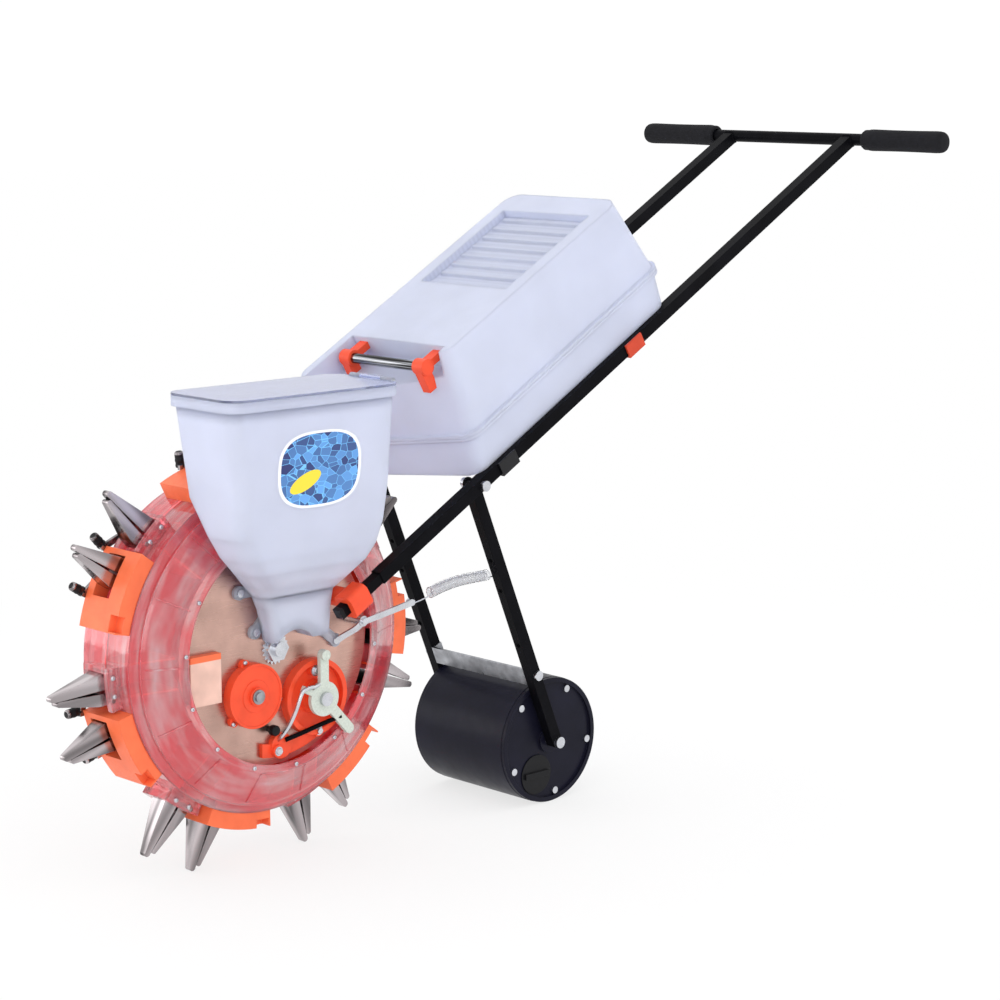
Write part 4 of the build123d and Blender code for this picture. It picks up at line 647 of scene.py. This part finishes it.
def pressed_steel(colours):
    """Pressed and polished beak steel: bright and dark streaks, painted reflections, that run outwards along
    the beaks, and small pits."""
    made, tree, surface, place = begin("pressed_steel", {"Metallic": 1.0})
    painted_reflection_streak = about_axle(tree, place, turn=0.22, out=0.1)
    # Streaks from near black to bright are painted reflections of the polished steel.
    tone = clouded(tree, painted_reflection_streak, 16, dim(colours.beak, 0.2), dim(colours.beak, 1.3), -0.2, 1.2, 1.0)
    pits = waver(tree, place, 2, 0.0, 1.0)
    skin(tree, surface, tone, waver(tree, painted_reflection_streak, 9, 0.1, 0.28), pits, depth=0.04, edge=1.0)
    return made


def zinc_plated_steel(colours):
    """Zinc plated steel, passivated: pale cool metal, bright, with a thin uneven film."""
    made, tree, surface, place = begin("zinc_plated_steel", {"Metallic": 1.0})
    tone = clouded(tree, place, 14, dim(colours.zinc, 0.84), dim(colours.zinc, 1.08))
    skin(tree, surface, tone, waver(tree, place, 9, 0.18, 0.34))
    return made


def drawn_chrome(colours):
    """Chromed tube, drawn: a dark base colour with bright lengthwise streaks, both painted reflections."""
    made, tree, surface, place = begin("drawn_chrome", {"Metallic": 1.0})
    along = add(tree, "ShaderNodeMapping", {"Scale": (1.0, 0.015, 1.0)}, {"Vector": place}).outputs[0]
    # Painted reflections: mostly near black, with bright streaks along the bar as painted highlights.
    tone = clouded(tree, along, 2.2, dim(colours.zinc, 0.03), colours.zinc, -1.0, 1.2, 1.0)
    skin(tree, surface, tone, waver(tree, along, 2.2, 0.08, 0.2))
    return made


def black_polypropylene(colours):
    """Black polypropylene, moulded: dark, half gloss, with a fine grain."""
    made, tree, surface, place = begin("black_polypropylene", {"IOR": 1.35, "Specular IOR Level": 0.4})
    tone = clouded(tree, place, 1.5, colours.coat, dim(colours.coat, 2.0))
    skin(tree, surface, tone, waver(tree, place, 3, 0.3, 0.5), edge=1.0)
    return made


def printed_vinyl(colours):
    """Printed vinyl label: glossy film with a mosaic of blue pebbles, one yellow leaf and a pale border. Its
    pattern is drawn in shares of the label's half width and half height from its middle."""
    sizes = bpy.context.scene.planter_sizes
    made, tree, surface, place = begin("printed_vinyl", {"Roughness": 0.22, "Coat Weight": 0.4})
    middle = {"operation": "SUBTRACT", 1: tuple(from_axle(LABEL_X, 0.0, LABEL_Z) * MM)}
    centred = add(tree, "ShaderNodeVectorMath", middle, {0: place}).outputs[0]
    halves = {"operation": "MULTIPLY", 1: (2 / sizes.label_width, 0.0, 2 / sizes.label_height)}
    scaled = add(tree, "ShaderNodeVectorMath", halves, {0: centred}).outputs[0]
    # Pebbles: cells of chance blues with pale seams between them.
    cells = {"Scale": 5.0, "Randomness": 0.9}
    pebbles = add(tree, "ShaderNodeTexVoronoi", cells, {"Vector": scaled})
    chance = add(tree, "ShaderNodeSeparateColor", links={0: pebbles.outputs["Color"]}).outputs[0]
    pair = {**MIX_COLOURS, 6: colours.label_dark, 7: colours.label_light}
    blue = add(tree, "ShaderNodeMix", pair, {0: chance}).outputs[2]
    seam = add(tree, "ShaderNodeTexVoronoi", {"feature": "DISTANCE_TO_EDGE", **cells}, {"Vector": scaled})
    narrow = {"operation": "LESS_THAN", 1: 0.022}
    thin = add(tree, "ShaderNodeMath", narrow, {0: seam.outputs["Distance"]}).outputs[0]
    pale = {**MIX_COLOURS, 7: dim(colours.label_light, 1.4)}
    tiled = add(tree, "ShaderNodeMix", pale, {0: thin, 6: blue}).outputs[2]
    # Leaf: an ellipse, turned by 35 degrees, low on the front side.
    ellipse = {"Location": (0.34, 0.0, -0.3), "Rotation": (0.0, 0.6, 0.0), "Scale": (0.42, 1.0, 0.2)}
    leaf = add(tree, "ShaderNodeMapping", {"vector_type": "TEXTURE", **ellipse}, {"Vector": scaled}).outputs[0]
    reach = add(tree, "ShaderNodeVectorMath", {"operation": "LENGTH"}, {0: leaf}).outputs["Value"]
    inside = add(tree, "ShaderNodeMath", {"operation": "LESS_THAN", 1: 1.0}, {0: reach}).outputs[0]
    yellow = {**MIX_COLOURS, 7: colours.label_leaf}
    leafy = add(tree, "ShaderNodeMix", yellow, {0: inside, 6: tiled}).outputs[2]
    # Border: where |x|^p + |z|^p nears one, p being that of the label's outline.
    flat = add(tree, "ShaderNodeVectorMath", {"operation": "ABSOLUTE"}, {0: scaled}).outputs[0]
    parts = add(tree, "ShaderNodeSeparateXYZ", links={0: flat})
    power = {"operation": "POWER", 1: 2.0 / LABEL_POWER}
    raised = [add(tree, "ShaderNodeMath", power, {0: parts.outputs[k]}).outputs[0] for k in ("X", "Z")]
    total = add(tree, "ShaderNodeMath", {"operation": "ADD"}, {0: raised[0], 1: raised[1]}).outputs[0]
    border = add(tree, "ShaderNodeMath", {"operation": "GREATER_THAN", 1: 0.82}, {0: total}).outputs[0]
    rim = {**MIX_COLOURS, 7: colours.hose}
    skin(tree, surface, add(tree, "ShaderNodeMix", rim, {0: border, 6: leafy}).outputs[2])
    return made


def seen_rays(tree):
    """One where a ray comes straight from the camera, a gloss or a see-through surface."""
    rays = add(tree, "ShaderNodeLightPath").outputs
    either = {"operation": "MAXIMUM"}
    gloss = add(tree, "ShaderNodeMath", either, {0: rays["Is Glossy Ray"], 1: rays["Is Transmission Ray"]})
    return add(tree, "ShaderNodeMath", either, {0: rays["Is Camera Ray"], 1: gloss.outputs[0]}).outputs[0]


def studio_floor(colours):
    """Matt white paper floor: it keeps a soft shadow near the object and goes to plain white further out."""
    values = {"Base Color": linear("#F4F4F4"), "Roughness": 0.9, "Specular IOR Level": 0.0}
    made, tree, surface, place = begin("studio_floor", values)
    glow = add(tree, "ShaderNodeEmission", {"Color": (1, 1, 1, 1), "Strength": 1.0})
    far = add(tree, "ShaderNodeVectorMath", {"operation": "LENGTH"}, {0: place}).outputs["Value"]
    span = {"From Min": 0.5, "From Max": 1.6, "To Min": 0.72, "To Max": 1.0}
    fade = add(tree, "ShaderNodeMapRange", span, {"Value": far}).outputs[0]
    share = add(tree, "ShaderNodeMath", {"operation": "MULTIPLY"}, {0: seen_rays(tree), 1: fade}).outputs[0]
    links = {0: share, 1: surface.outputs[0], 2: glow.outputs[0]}
    show(tree, add(tree, "ShaderNodeMixShader", links=links))
    return made


FINISHES = {
    f.__name__: f
    for f in (
        powder_coated_steel,
        enamelled_steel,
        rolled_steel,
        foam_rubber,
        moulded_rubber,
        orange_polypropylene,
        seat_polypropylene,
        clip_polypropylene,
        scoop_polypropylene,
        web_polypropylene,
        clear_polycarbonate,
        clear_acrylic,
        soft_vinyl_hose,
        milky_polyethylene,
        lid_polyethylene,
        hopper_polyethylene,
        grey_nylon,
        stainless_sheet,
        pressed_steel,
        zinc_plated_steel,
        drawn_chrome,
        black_polypropylene,
        printed_vinyl,
        studio_floor,
    )
}

NODE_FINISHES = {
    "powder_coated_steel": ("square_tubes", "front_rods", "handlebar", "left_arm", "right_arm"),
    "enamelled_steel": ("roller_shell", "end_caps"),
    "rolled_steel": ("scraper",),
    "black_polypropylene": ("rod_end_caps", "filler_plug"),
    "orange_polypropylene": (
        "meter_housings", "clutch_housing", "lower_bracket", "carry_brackets", "tube_clamps",
    ),
    "seat_polypropylene": ("beak_seats",),
    "clip_polypropylene": ("tank_clips",),
    "scoop_polypropylene": ("seed_scoop",),
    "web_polypropylene": ("drum_web",),
    "clear_polycarbonate": ("side_covers", "seed_beak_bosses"),
    "clear_acrylic": ("hopper_lid",),
    "milky_polyethylene": ("fertilizer_tank", "fertilizer_chute"),
    "lid_polyethylene": ("tank_lid",),
    "hopper_polyethylene": ("seed_hopper",),
    "grey_nylon": ("clutch_lever", "seed_roller", "fertilizer_roller", "ring_gears"),
    "stainless_sheet": ("hub_plates",),
    "pressed_steel": ("beaks",)
    + tuple(f"seed_flap_{k + 1}" for k in range(STATIONS))
    + tuple(f"fertilizer_flap_{k + 1}" for k in range(STATIONS)),
    "zinc_plated_steel": (
        "axle", "axle_hardware", "hub_bolts", "hinge_pins", "pivot_bolts", "scraper_bolts", "roller_axle",
        "cap_screws", "drum_bearings", "spring_stay",
    ),
    "drawn_chrome": ("carry_bar",),
}


def material(name):
    """The named finish, made once."""
    return bpy.data.materials.get(name) or FINISHES[name](bpy.context.scene.planter_colours)


class PLANTER_OT_finishes(bpy.types.Operator):
    """Give every CAD piece its finish"""

    bl_idname = "planter.finishes"
    bl_label = "Finish the CAD pieces"

    def execute(self, context):
        for finish, nodes in NODE_FINISHES.items():
            for node in nodes:
                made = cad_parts[node]
                if not made.material_slots:
                    made.data.materials.append(None)
                for place in made.material_slots:
                    place.material = material(finish)
        return {"FINISHED"}


class PLANTER_OT_grips(bpy.types.Operator):
    """Foam grips on the handlebar"""

    bl_idname = "planter.grips"
    bl_label = "Grips"

    def execute(self, context):
        sizes = context.scene.planter_sizes
        radius, long = sizes.grip_radius / MM, sizes.grip_length / MM
        # Turned about the bar: a collar, a shallow waist and a rounded end, less fine lengthwise flutes of
        # depth * (1 + cos(flutes * t)) / 2 that fade out towards the ends.
        s, r = np.array(GRIP_PROFILE).T
        flute = np.interp(s, [0.1, 0.14, 0.88, 0.92], [0.0, 1.0, 1.0, 0.0])
        t = once_round(160)
        wave = 0.5 + 0.5 * np.cos(GRIP_FLUTES * t)
        reach = radius * r[:, None] - GRIP_FLUTE_DEPTH * flute[:, None] * wave
        x, z = -BAR_BACK + reach * np.cos(t), BAR_HEIGHT - AXLE[2] + reach * np.sin(t)
        y = BAR_HALF - long + long * s[:, None] + 0.0 * t
        grips = [patch(from_axle(x, side * y, z), wrap=True) for side in SIDES]
        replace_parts(piece("foam_grips", grips, "foam_rubber", "frame"), "grips")
        return {"FINISHED"}


class PLANTER_OT_spring(bpy.types.Operator):
    """Pull spring with its hooks, and the clear hose round it"""

    bl_idname = "planter.spring"
    bl_label = "Pull spring"

    def execute(self, context):
        sizes = context.scene.planter_sizes
        wire, coil, turns = sizes.spring_wire / MM, sizes.spring_radius / MM, sizes.spring_turns
        front = from_axle(STUD_X, SPRING_Y, STUD_Z)
        pivot = on_deck(PIVOT_U, SPRING_Y, PIVOT_W)
        foot = from_axle(ROLLER_X, SPRING_Y, ROLLER_HEIGHT - AXLE[2])
        rear = pivot + STUD_DOWN * unit(foot - pivot)
        along = unit(rear - front)
        third = np.cross(along, LEFT)
        whole = np.linalg.norm(rear - front)
        start, end = COIL_FROM, COIL_FROM + COIL_LONG
        eye = STUD_R + wire + HOOK_SLACK

        def spot(a, across, up):
            """Points along the spring from its front stud, across it and square to both. The whole hangs in
            a shallow arch, highest in the middle: bow * sin^2(pi * a / whole)."""
            a, across, up = np.broadcast_arrays(a, across, up)
            up = up - SPRING_BOW * np.sin(math.pi * np.clip(a / whole, 0.0, 1.0)) ** 2
            return front + a[..., None] * along + across[..., None] * LEFT + up[..., None] * third

        def hook(stud, way, long):
            """One end of the wire, from a stud along the spring: a half turn round the stud, a straight shank,
            then a sweep out to the coil, which begins at the given length from the stud."""
            half = np.linspace(-0.5 * math.pi, -1.5 * math.pi, 15)
            sweep = np.linspace(0.0, 1.0, 14)[1:]
            ease = sweep**2 * (3 - 2 * sweep)
            bend = 0.7 * long + 0.3 * long * np.sin(0.5 * math.pi * sweep)
            a = np.concatenate([eye * np.cos(half), [2.0, 0.45 * long, 0.7 * long], bend])
            across = np.concatenate([np.zeros(len(half) + 3), coil * ease])
            up = np.concatenate([eye * np.sin(half), [eye, eye, eye], eye * (1 - ease)])
            return tube(spot(stud + way * a, across, up), wire, LEFT, sides=10)

        # Coil: a circle of the coil's radius that moves on evenly along the axis.
        turn = np.linspace(0.0, turns, turns * 16 + 1)
        angle = ROUND * turn
        helix = spot(start + (end - start) * turn / turns, coil * np.cos(angle), coil * np.sin(angle))
        hooks = [hook(0.0, 1.0, start), hook(whole, -1.0, whole - end)]
        wires = [tube(helix, wire, along, sides=10), *hooks]
        spring = piece("pull_spring", wires, "zinc_plated_steel", sharp=60.0)
        # Hose: a wall between two radii round the coil, and past its ends by the coil's radius.
        outer, inner = sizes.sleeve_radius / MM, sizes.sleeve_radius / MM - HOSE_WALL
        share = np.concatenate([[0.0], np.linspace(0.0, 1.0, 15), np.linspace(1.0, 0.0, 15)])
        a = share * (end - start + 2 * coil) - coil
        r = np.concatenate([[inner], np.full(15, outer), np.full(15, inner)])
        t = once_round(28)
        wall = spot(start + a[:, None] + 0.0 * t, r[:, None] * np.cos(t), r[:, None] * np.sin(t))
        hose = piece("spring_hose", [patch(wall, wrap=True)], "soft_vinyl_hose")
        limits = [tuple(spot(v, 0.0, 0.0) * MM) for v in (start - BEND_PAST, end + BEND_PAST)]
        for made, node in ((spring, "arm_spring"), (hose, "spring_sleeve")):
            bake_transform(made)
            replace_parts(made, node)
        return {"FINISHED"}


class PLANTER_OT_bumpers(bpy.types.Operator):
    """Rubber bumper on each flap lever"""

    bl_idname = "planter.bumpers"
    bl_label = "Flap bumpers"

    def execute(self, context):
        sizes = context.scene.planter_sizes
        # Turned about the wheel's radius: a foot, two grip rings and a domed head.
        profile = np.array(BUMPER) * (sizes.bumper_radius / MM, sizes.bumper_height / MM)
        for kind, angles in (("seed", SEED_ANGLES), ("fertilizer", FERT_ANGLES)):
            for k, angle in enumerate(angles):
                foot = on_wheel(angle, LEVER_OUT, LEVER_Y, LEVER_AHEAD)
                axis = on_wheel(angle, 1.0, 0.0, 0.0) - on_wheel(angle, 0.0, 0.0, 0.0)
                made = lathe(profile, foot, axis, sides=24)
                body = f"{kind}_flap_{k + 1}"
                piece(f"{kind}_bumper_{k + 1}", [made], "moulded_rubber", body)
        return {"FINISHED"}


class PLANTER_OT_cover_ribs(bpy.types.Operator):
    """Moulded ribs on the clear side covers"""

    bl_idname = "planter.cover_ribs"
    bl_label = "Cover ribs"

    def execute(self, context):
        sizes = context.scene.planter_sizes
        half, high = sizes.rib_width / MM / 2, sizes.rib_height / MM
        outline = [(-half, -0.4), (half, -0.4), (half * 0.8, high), (-half * 0.8, high)]
        # Rib: straight down the cover's cone, its outline standing on the side that faces away from the web.
        r = np.linspace(RIB_FROM, RIB_TO, 12)
        ribs = []
        for side in SIDES:
            y = side * (COVER_Y - COVER_FALL * (r - COVER_R))
            for angle in COVER_STEPS + RIB_TURN:
                path = on_wheel(angle, r, y, 0.0)
                across = unit(on_wheel(angle, r, y, 1.0) - path)
                out = np.cross(unit(np.gradient(path, axis=0)), across)
                ribs.append(swept(path, across, out * np.sign(side * out[:, 1:2]), outline))
        piece("cover_ribs", ribs, "clear_polycarbonate", "seed_wheel")
        return {"FINISHED"}


class PLANTER_OT_wheel_screws(bpy.types.Operator):
    """Screws of the side covers and bosses"""

    bl_idname = "planter.wheel_screws"
    bl_label = "Wheel screws"

    def execute(self, context):
        radius = context.scene.planter_sizes.screw_radius / MM
        screws = []
        for side in SIDES:
            ring = on_wheel(COVER_STEPS + COVER_SCREW_TURN, COVER_SCREW_R, side * COVER_Y, 0.0)
            screws += pan_heads(ring, side * LEFT, radius * 0.8, height=2.2)
            for ahead in (-BOSS_SCREW_AHEAD, BOSS_SCREW_AHEAD):
                boss = on_wheel(SEED_ANGLES, BOSS_SCREW_OUT, side * BOSS_SCREW_Y, ahead)
                screws += pan_heads(boss, side * LEFT, radius, height=2.4)
        piece("wheel_screws", screws, "zinc_plated_steel", "seed_wheel")
        return {"FINISHED"}


class PLANTER_OT_clutch_links(bpy.types.Operator):
    """Link wire and push rod between the clutch lever and the lower bracket, and the bracket's knob"""

    bl_idname = "planter.clutch_links"
    bl_label = "Clutch linkage"

    def execute(self, context):
        sizes = context.scene.planter_sizes
        wire = tube(curve(LINK_ROUTE), sizes.link_radius / MM, LEFT)
        link = piece("clutch_link", [wire], "zinc_plated_steel")
        top, foot = from_axle(*LINK_TOP) * MM, from_axle(*LINK_FOOT) * MM
        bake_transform(link)
        path = curve(ROD_ROUTE)
        bar = tube(path, sizes.rod_radius / MM, LEFT)
        rod = piece("push_rod", [bar], "powder_coated_steel")
        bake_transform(rod)
        knob = lathe(KNOB, from_axle(*KNOB_PLACE), LEFT, sides=24)
        piece("bracket_knob", [knob], "black_polypropylene", "frame")
        return {"FINISHED"}


class PLANTER_OT_hub_screws(bpy.types.Operator):
    """Screws of the meter housings, and bolts of the lower bracket and the clutch housing"""

    bl_idname = "planter.hub_screws"
    bl_label = "Hub screws"

    def execute(self, context):
        radius = context.scene.planter_sizes.screw_radius / MM
        turn = np.radians(EAR_ANGLES)
        x, z = METER_X + EAR_R * np.cos(turn), METER_Z + EAR_R * np.sin(turn)
        screws = []
        for side in SIDES:
            ears = from_axle(x, side * EAR_Y, z)
            screws += pan_heads(ears, side * LEFT, radius * 0.9, height=3.0)
        turn = np.radians(BRACKET_ANGLES)
        ends = from_axle(BRACKET_R * np.cos(turn), BRACKET_Y, BRACKET_R * np.sin(turn))
        screws += hex_heads(ends, LEFT, radius=4.5, height=4.0)
        screws += hex_heads(from_axle(*POST_PLACE), LEFT, radius=5.5, height=5.0)
        piece("hub_screws", screws, "zinc_plated_steel", "frame")
        return {"FINISHED"}


class PLANTER_OT_hub_fittings(bpy.types.Operator):
    """Strap of the spring stay, caps of the meter shafts and toothed washers of the axle"""

    bl_idname = "planter.hub_fittings"
    bl_label = "Hub fittings"

    def execute(self, context):
        # Strap: a flat strip that bends from the spring stay down to the hopper's rear lug.
        path = curve(STRAP_ROUTE, steps=10)
        way = unit(np.gradient(path, axis=0))
        across = unit(np.cross(way, LEFT))
        outline = np.array([(-1, -1), (1, -1), (1, 1), (-1, 1)]) * (STRAP_WIDE, STRAP_THICK)
        strap = swept(path, across, np.cross(across, way), outline)
        piece("stay_strap", [strap], "zinc_plated_steel", "frame")
        # Washer: its radius plus tooth * cos(teeth * t) between two flat faces.
        t = once_round(160)
        r = np.array([0.0, 1.0, 1.0, 0.0])[:, None] * (WASHER_R + WASHER_TOOTH * np.cos(WASHER_TEETH * t))
        y = np.array([WASHER_FROM, WASHER_FROM, WASHER_TO, WASHER_TO])[:, None] + 0.0 * t
        washers = []
        for side, body in zip(SIDES, ("seed_meter", "fertilizer_meter")):
            cap = lathe(METER_CAP, from_axle(METER_X, side * METER_Y, METER_Z), side * LEFT, sides=24)
            piece(f"{body}_cap", [cap], "rolled_steel", body)
            washers.append(patch(from_axle(r * np.cos(t), side * y, r * np.sin(t)), wrap=True))
        piece("axle_washers", washers, "zinc_plated_steel", "frame")
        return {"FINISHED"}


class PLANTER_OT_label(bpy.types.Operator):
    """Picture label on the hopper's left face"""

    bl_idname = "planter.label"
    bl_label = "Hopper label"

    def execute(self, context):
        sizes = context.scene.planter_sizes
        wide, high = sizes.label_width / MM / 2, sizes.label_height / MM / 2
        # Polar grid: rows from the back's middle over the rim to the front's middle, on the hopper's sloping
        # face. The outline is a rounded oblong, sign(cos t) |cos t|^p wide and sign(sin t) |sin t|^p high.
        share = np.array([0.0, 0.5, 0.99, 1.0, 0.98, 0.75, 0.5, 0.25, 0.0])
        proud = np.array([0.05, 0.05, 0.05, 0.15, 0.3, 0.3, 0.3, 0.3, 0.3])
        t = once_round(96)
        x = LABEL_X + wide * share[:, None] * np.sign(np.cos(t)) * np.abs(np.cos(t)) ** LABEL_POWER
        z = LABEL_Z + high * share[:, None] * np.sign(np.sin(t)) * np.abs(np.sin(t)) ** LABEL_POWER
        y = FACE_Y + FACE_OUT * (z - FACE_Z) / FACE_UP + proud[:, None]
        piece("hopper_label", [patch(from_axle(x, y, z), wrap=True)], "printed_vinyl", "frame")
        return {"FINISHED"}


class PLANTER_OT_frame_fittings(bpy.types.Operator):
    """Weld beads on the handlebar and bolts on the tubes"""

    bl_idname = "planter.frame_fittings"
    bl_label = "Frame fittings"

    def execute(self, context):
        # Weld: a bead round the tube's end where it meets the bar, its path a rounded square
        # sign(cos t) |cos t|^p by sign(sin t) |sin t|^p, its radius rippled.
        t = np.linspace(0.0, ROUND, 121) + 0.01
        half = TUBE_HALF + WELD_PROUD
        side_y, rise = (half * np.sign(v) * np.abs(v) ** WELD_POWER for v in (np.cos(t), np.sin(t)))
        u = math.hypot(TUBE_RUN, TUBE_CLIMB) - np.sqrt(BAR_R**2 - (0.98 * rise) ** 2)
        ripple = WELD_R + WELD_RIPPLE * np.sin(WELD_RIPPLES * t)
        beads, bolts = [], []
        for side in SIDES:
            beads.append(tube(on_deck(u, side * TUBE_Y + side_y, rise), ripple, ALONG_TUBES, sides=8))
            for along in TUBE_BOLTS_U:
                place = on_deck(along, side * TUBE_Y, -TUBE_HALF)
                bolts += hex_heads(place, BELOW_TUBES, radius=4.5, height=3.5)
        piece("weld_beads", beads, "powder_coated_steel", "frame")
        piece("tube_bolts", bolts, "zinc_plated_steel", "frame")
        return {"FINISHED"}


class PLANTER_OT_stage(bpy.types.Operator):
    """Floor, lamps, backdrop and camera"""

    bl_idname = "planter.stage"
    bl_label = "Stage"

    def execute(self, context):
        scene = context.scene
        scene.view_settings.view_transform = "Standard"
        # Floor: a flat disc.
        r, t = np.array(FLOOR_RADII)[:, None], once_round(64)
        grid = np.stack(np.broadcast_arrays(r * np.cos(t), r * np.sin(t), FLOOR_Z), axis=-1)
        floor = piece("floor", [patch(grid, wrap=True)], "studio_floor")
        world = bpy.data.worlds.new("studio")
        scene.world = world
        world.use_nodes = True
        tree = world.node_tree
        tree.nodes.clear()
        span = {"To Min": WORLD_LIGHT, "To Max": WORLD_SEEN}
        level = add(tree, "ShaderNodeMapRange", span, {"Value": seen_rays(tree)}).outputs[0]
        sky = add(tree, "ShaderNodeBackground", {"Color": (1, 1, 1, 1)}, {"Strength": level})
        add(tree, "ShaderNodeOutputWorld", links={"Surface": sky.outputs[0]})
        for name, place, size, power in LAMPS:
            lamp = bpy.data.lights.new(name, "AREA")
            lamp.shape = "SQUARE"
            lamp.size = size
            lamp.energy = power
            self.aim(scene, name, lamp, place, Vector(LAMP_TARGET) - Vector(place))
        lens = bpy.data.cameras.new("camera")
        lens.sensor_width = CAMERA_SENSOR
        lens.lens = CAMERA_LENS
        lens.clip_end = CAMERA_FAR
        turn, rise = math.radians(CAMERA_TURN), math.radians(CAMERA_RISE)
        back = Vector((math.sin(turn) * math.cos(rise), -math.cos(turn) * math.cos(rise), math.sin(rise)))
        scene.camera = self.aim(scene, "camera", lens, CAMERA_PLACE, -back)
        return {"FINISHED"}

    def aim(self, scene, name, data, place, way):
        """A lamp or camera at a place, looking a given way with its top up."""
        made = bpy.data.objects.new(name, data)
        scene.collection.objects.link(made)
        made.location = place
        made.rotation_mode = "QUATERNION"
        made.rotation_quaternion = way.to_track_quat("-Z", "Y")
        return made


OPERATORS = (
    PLANTER_OT_stage,
    PLANTER_OT_finishes,
    PLANTER_OT_grips,
    PLANTER_OT_spring,
    PLANTER_OT_bumpers,
    PLANTER_OT_cover_ribs,
    PLANTER_OT_wheel_screws,
    PLANTER_OT_clutch_links,
    PLANTER_OT_hub_screws,
    PLANTER_OT_hub_fittings,
    PLANTER_OT_label,
    PLANTER_OT_frame_fittings,
)


class PLANTER_PT_panel(bpy.types.Panel):
    """List of the planter's pieces, sizes and colours"""

    bl_idname = "PLANTER_PT_panel"
    bl_label = "Seed planter"
    bl_space_type = "VIEW_3D"
    bl_region_type = "UI"
    bl_category = "Planter"

    def draw(self, context):
        for operator in OPERATORS:
            self.layout.operator(operator.bl_idname)
        for group in (context.scene.planter_sizes, context.scene.planter_colours):
            for name in type(group).__annotations__:
                self.layout.prop(group, name)


CLASSES = (PlanterSizes, PlanterColours) + OPERATORS + (PLANTER_PT_panel,)


def register():
    for cls in CLASSES:
        bpy.utils.register_class(cls)
    bpy.types.Scene.planter_sizes = bpy.props.PointerProperty(type=PlanterSizes)
    bpy.types.Scene.planter_colours = bpy.props.PointerProperty(type=PlanterColours)


def unregister():
    del bpy.types.Scene.planter_colours
    del bpy.types.Scene.planter_sizes
    for cls in reversed(CLASSES):
        bpy.utils.unregister_class(cls)


def main():
    register()
    for operator in OPERATORS:
        group, name = operator.bl_idname.split(".")
        getattr(getattr(bpy.ops, group), name)()
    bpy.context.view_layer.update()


if __name__ == "__main__":
    main()
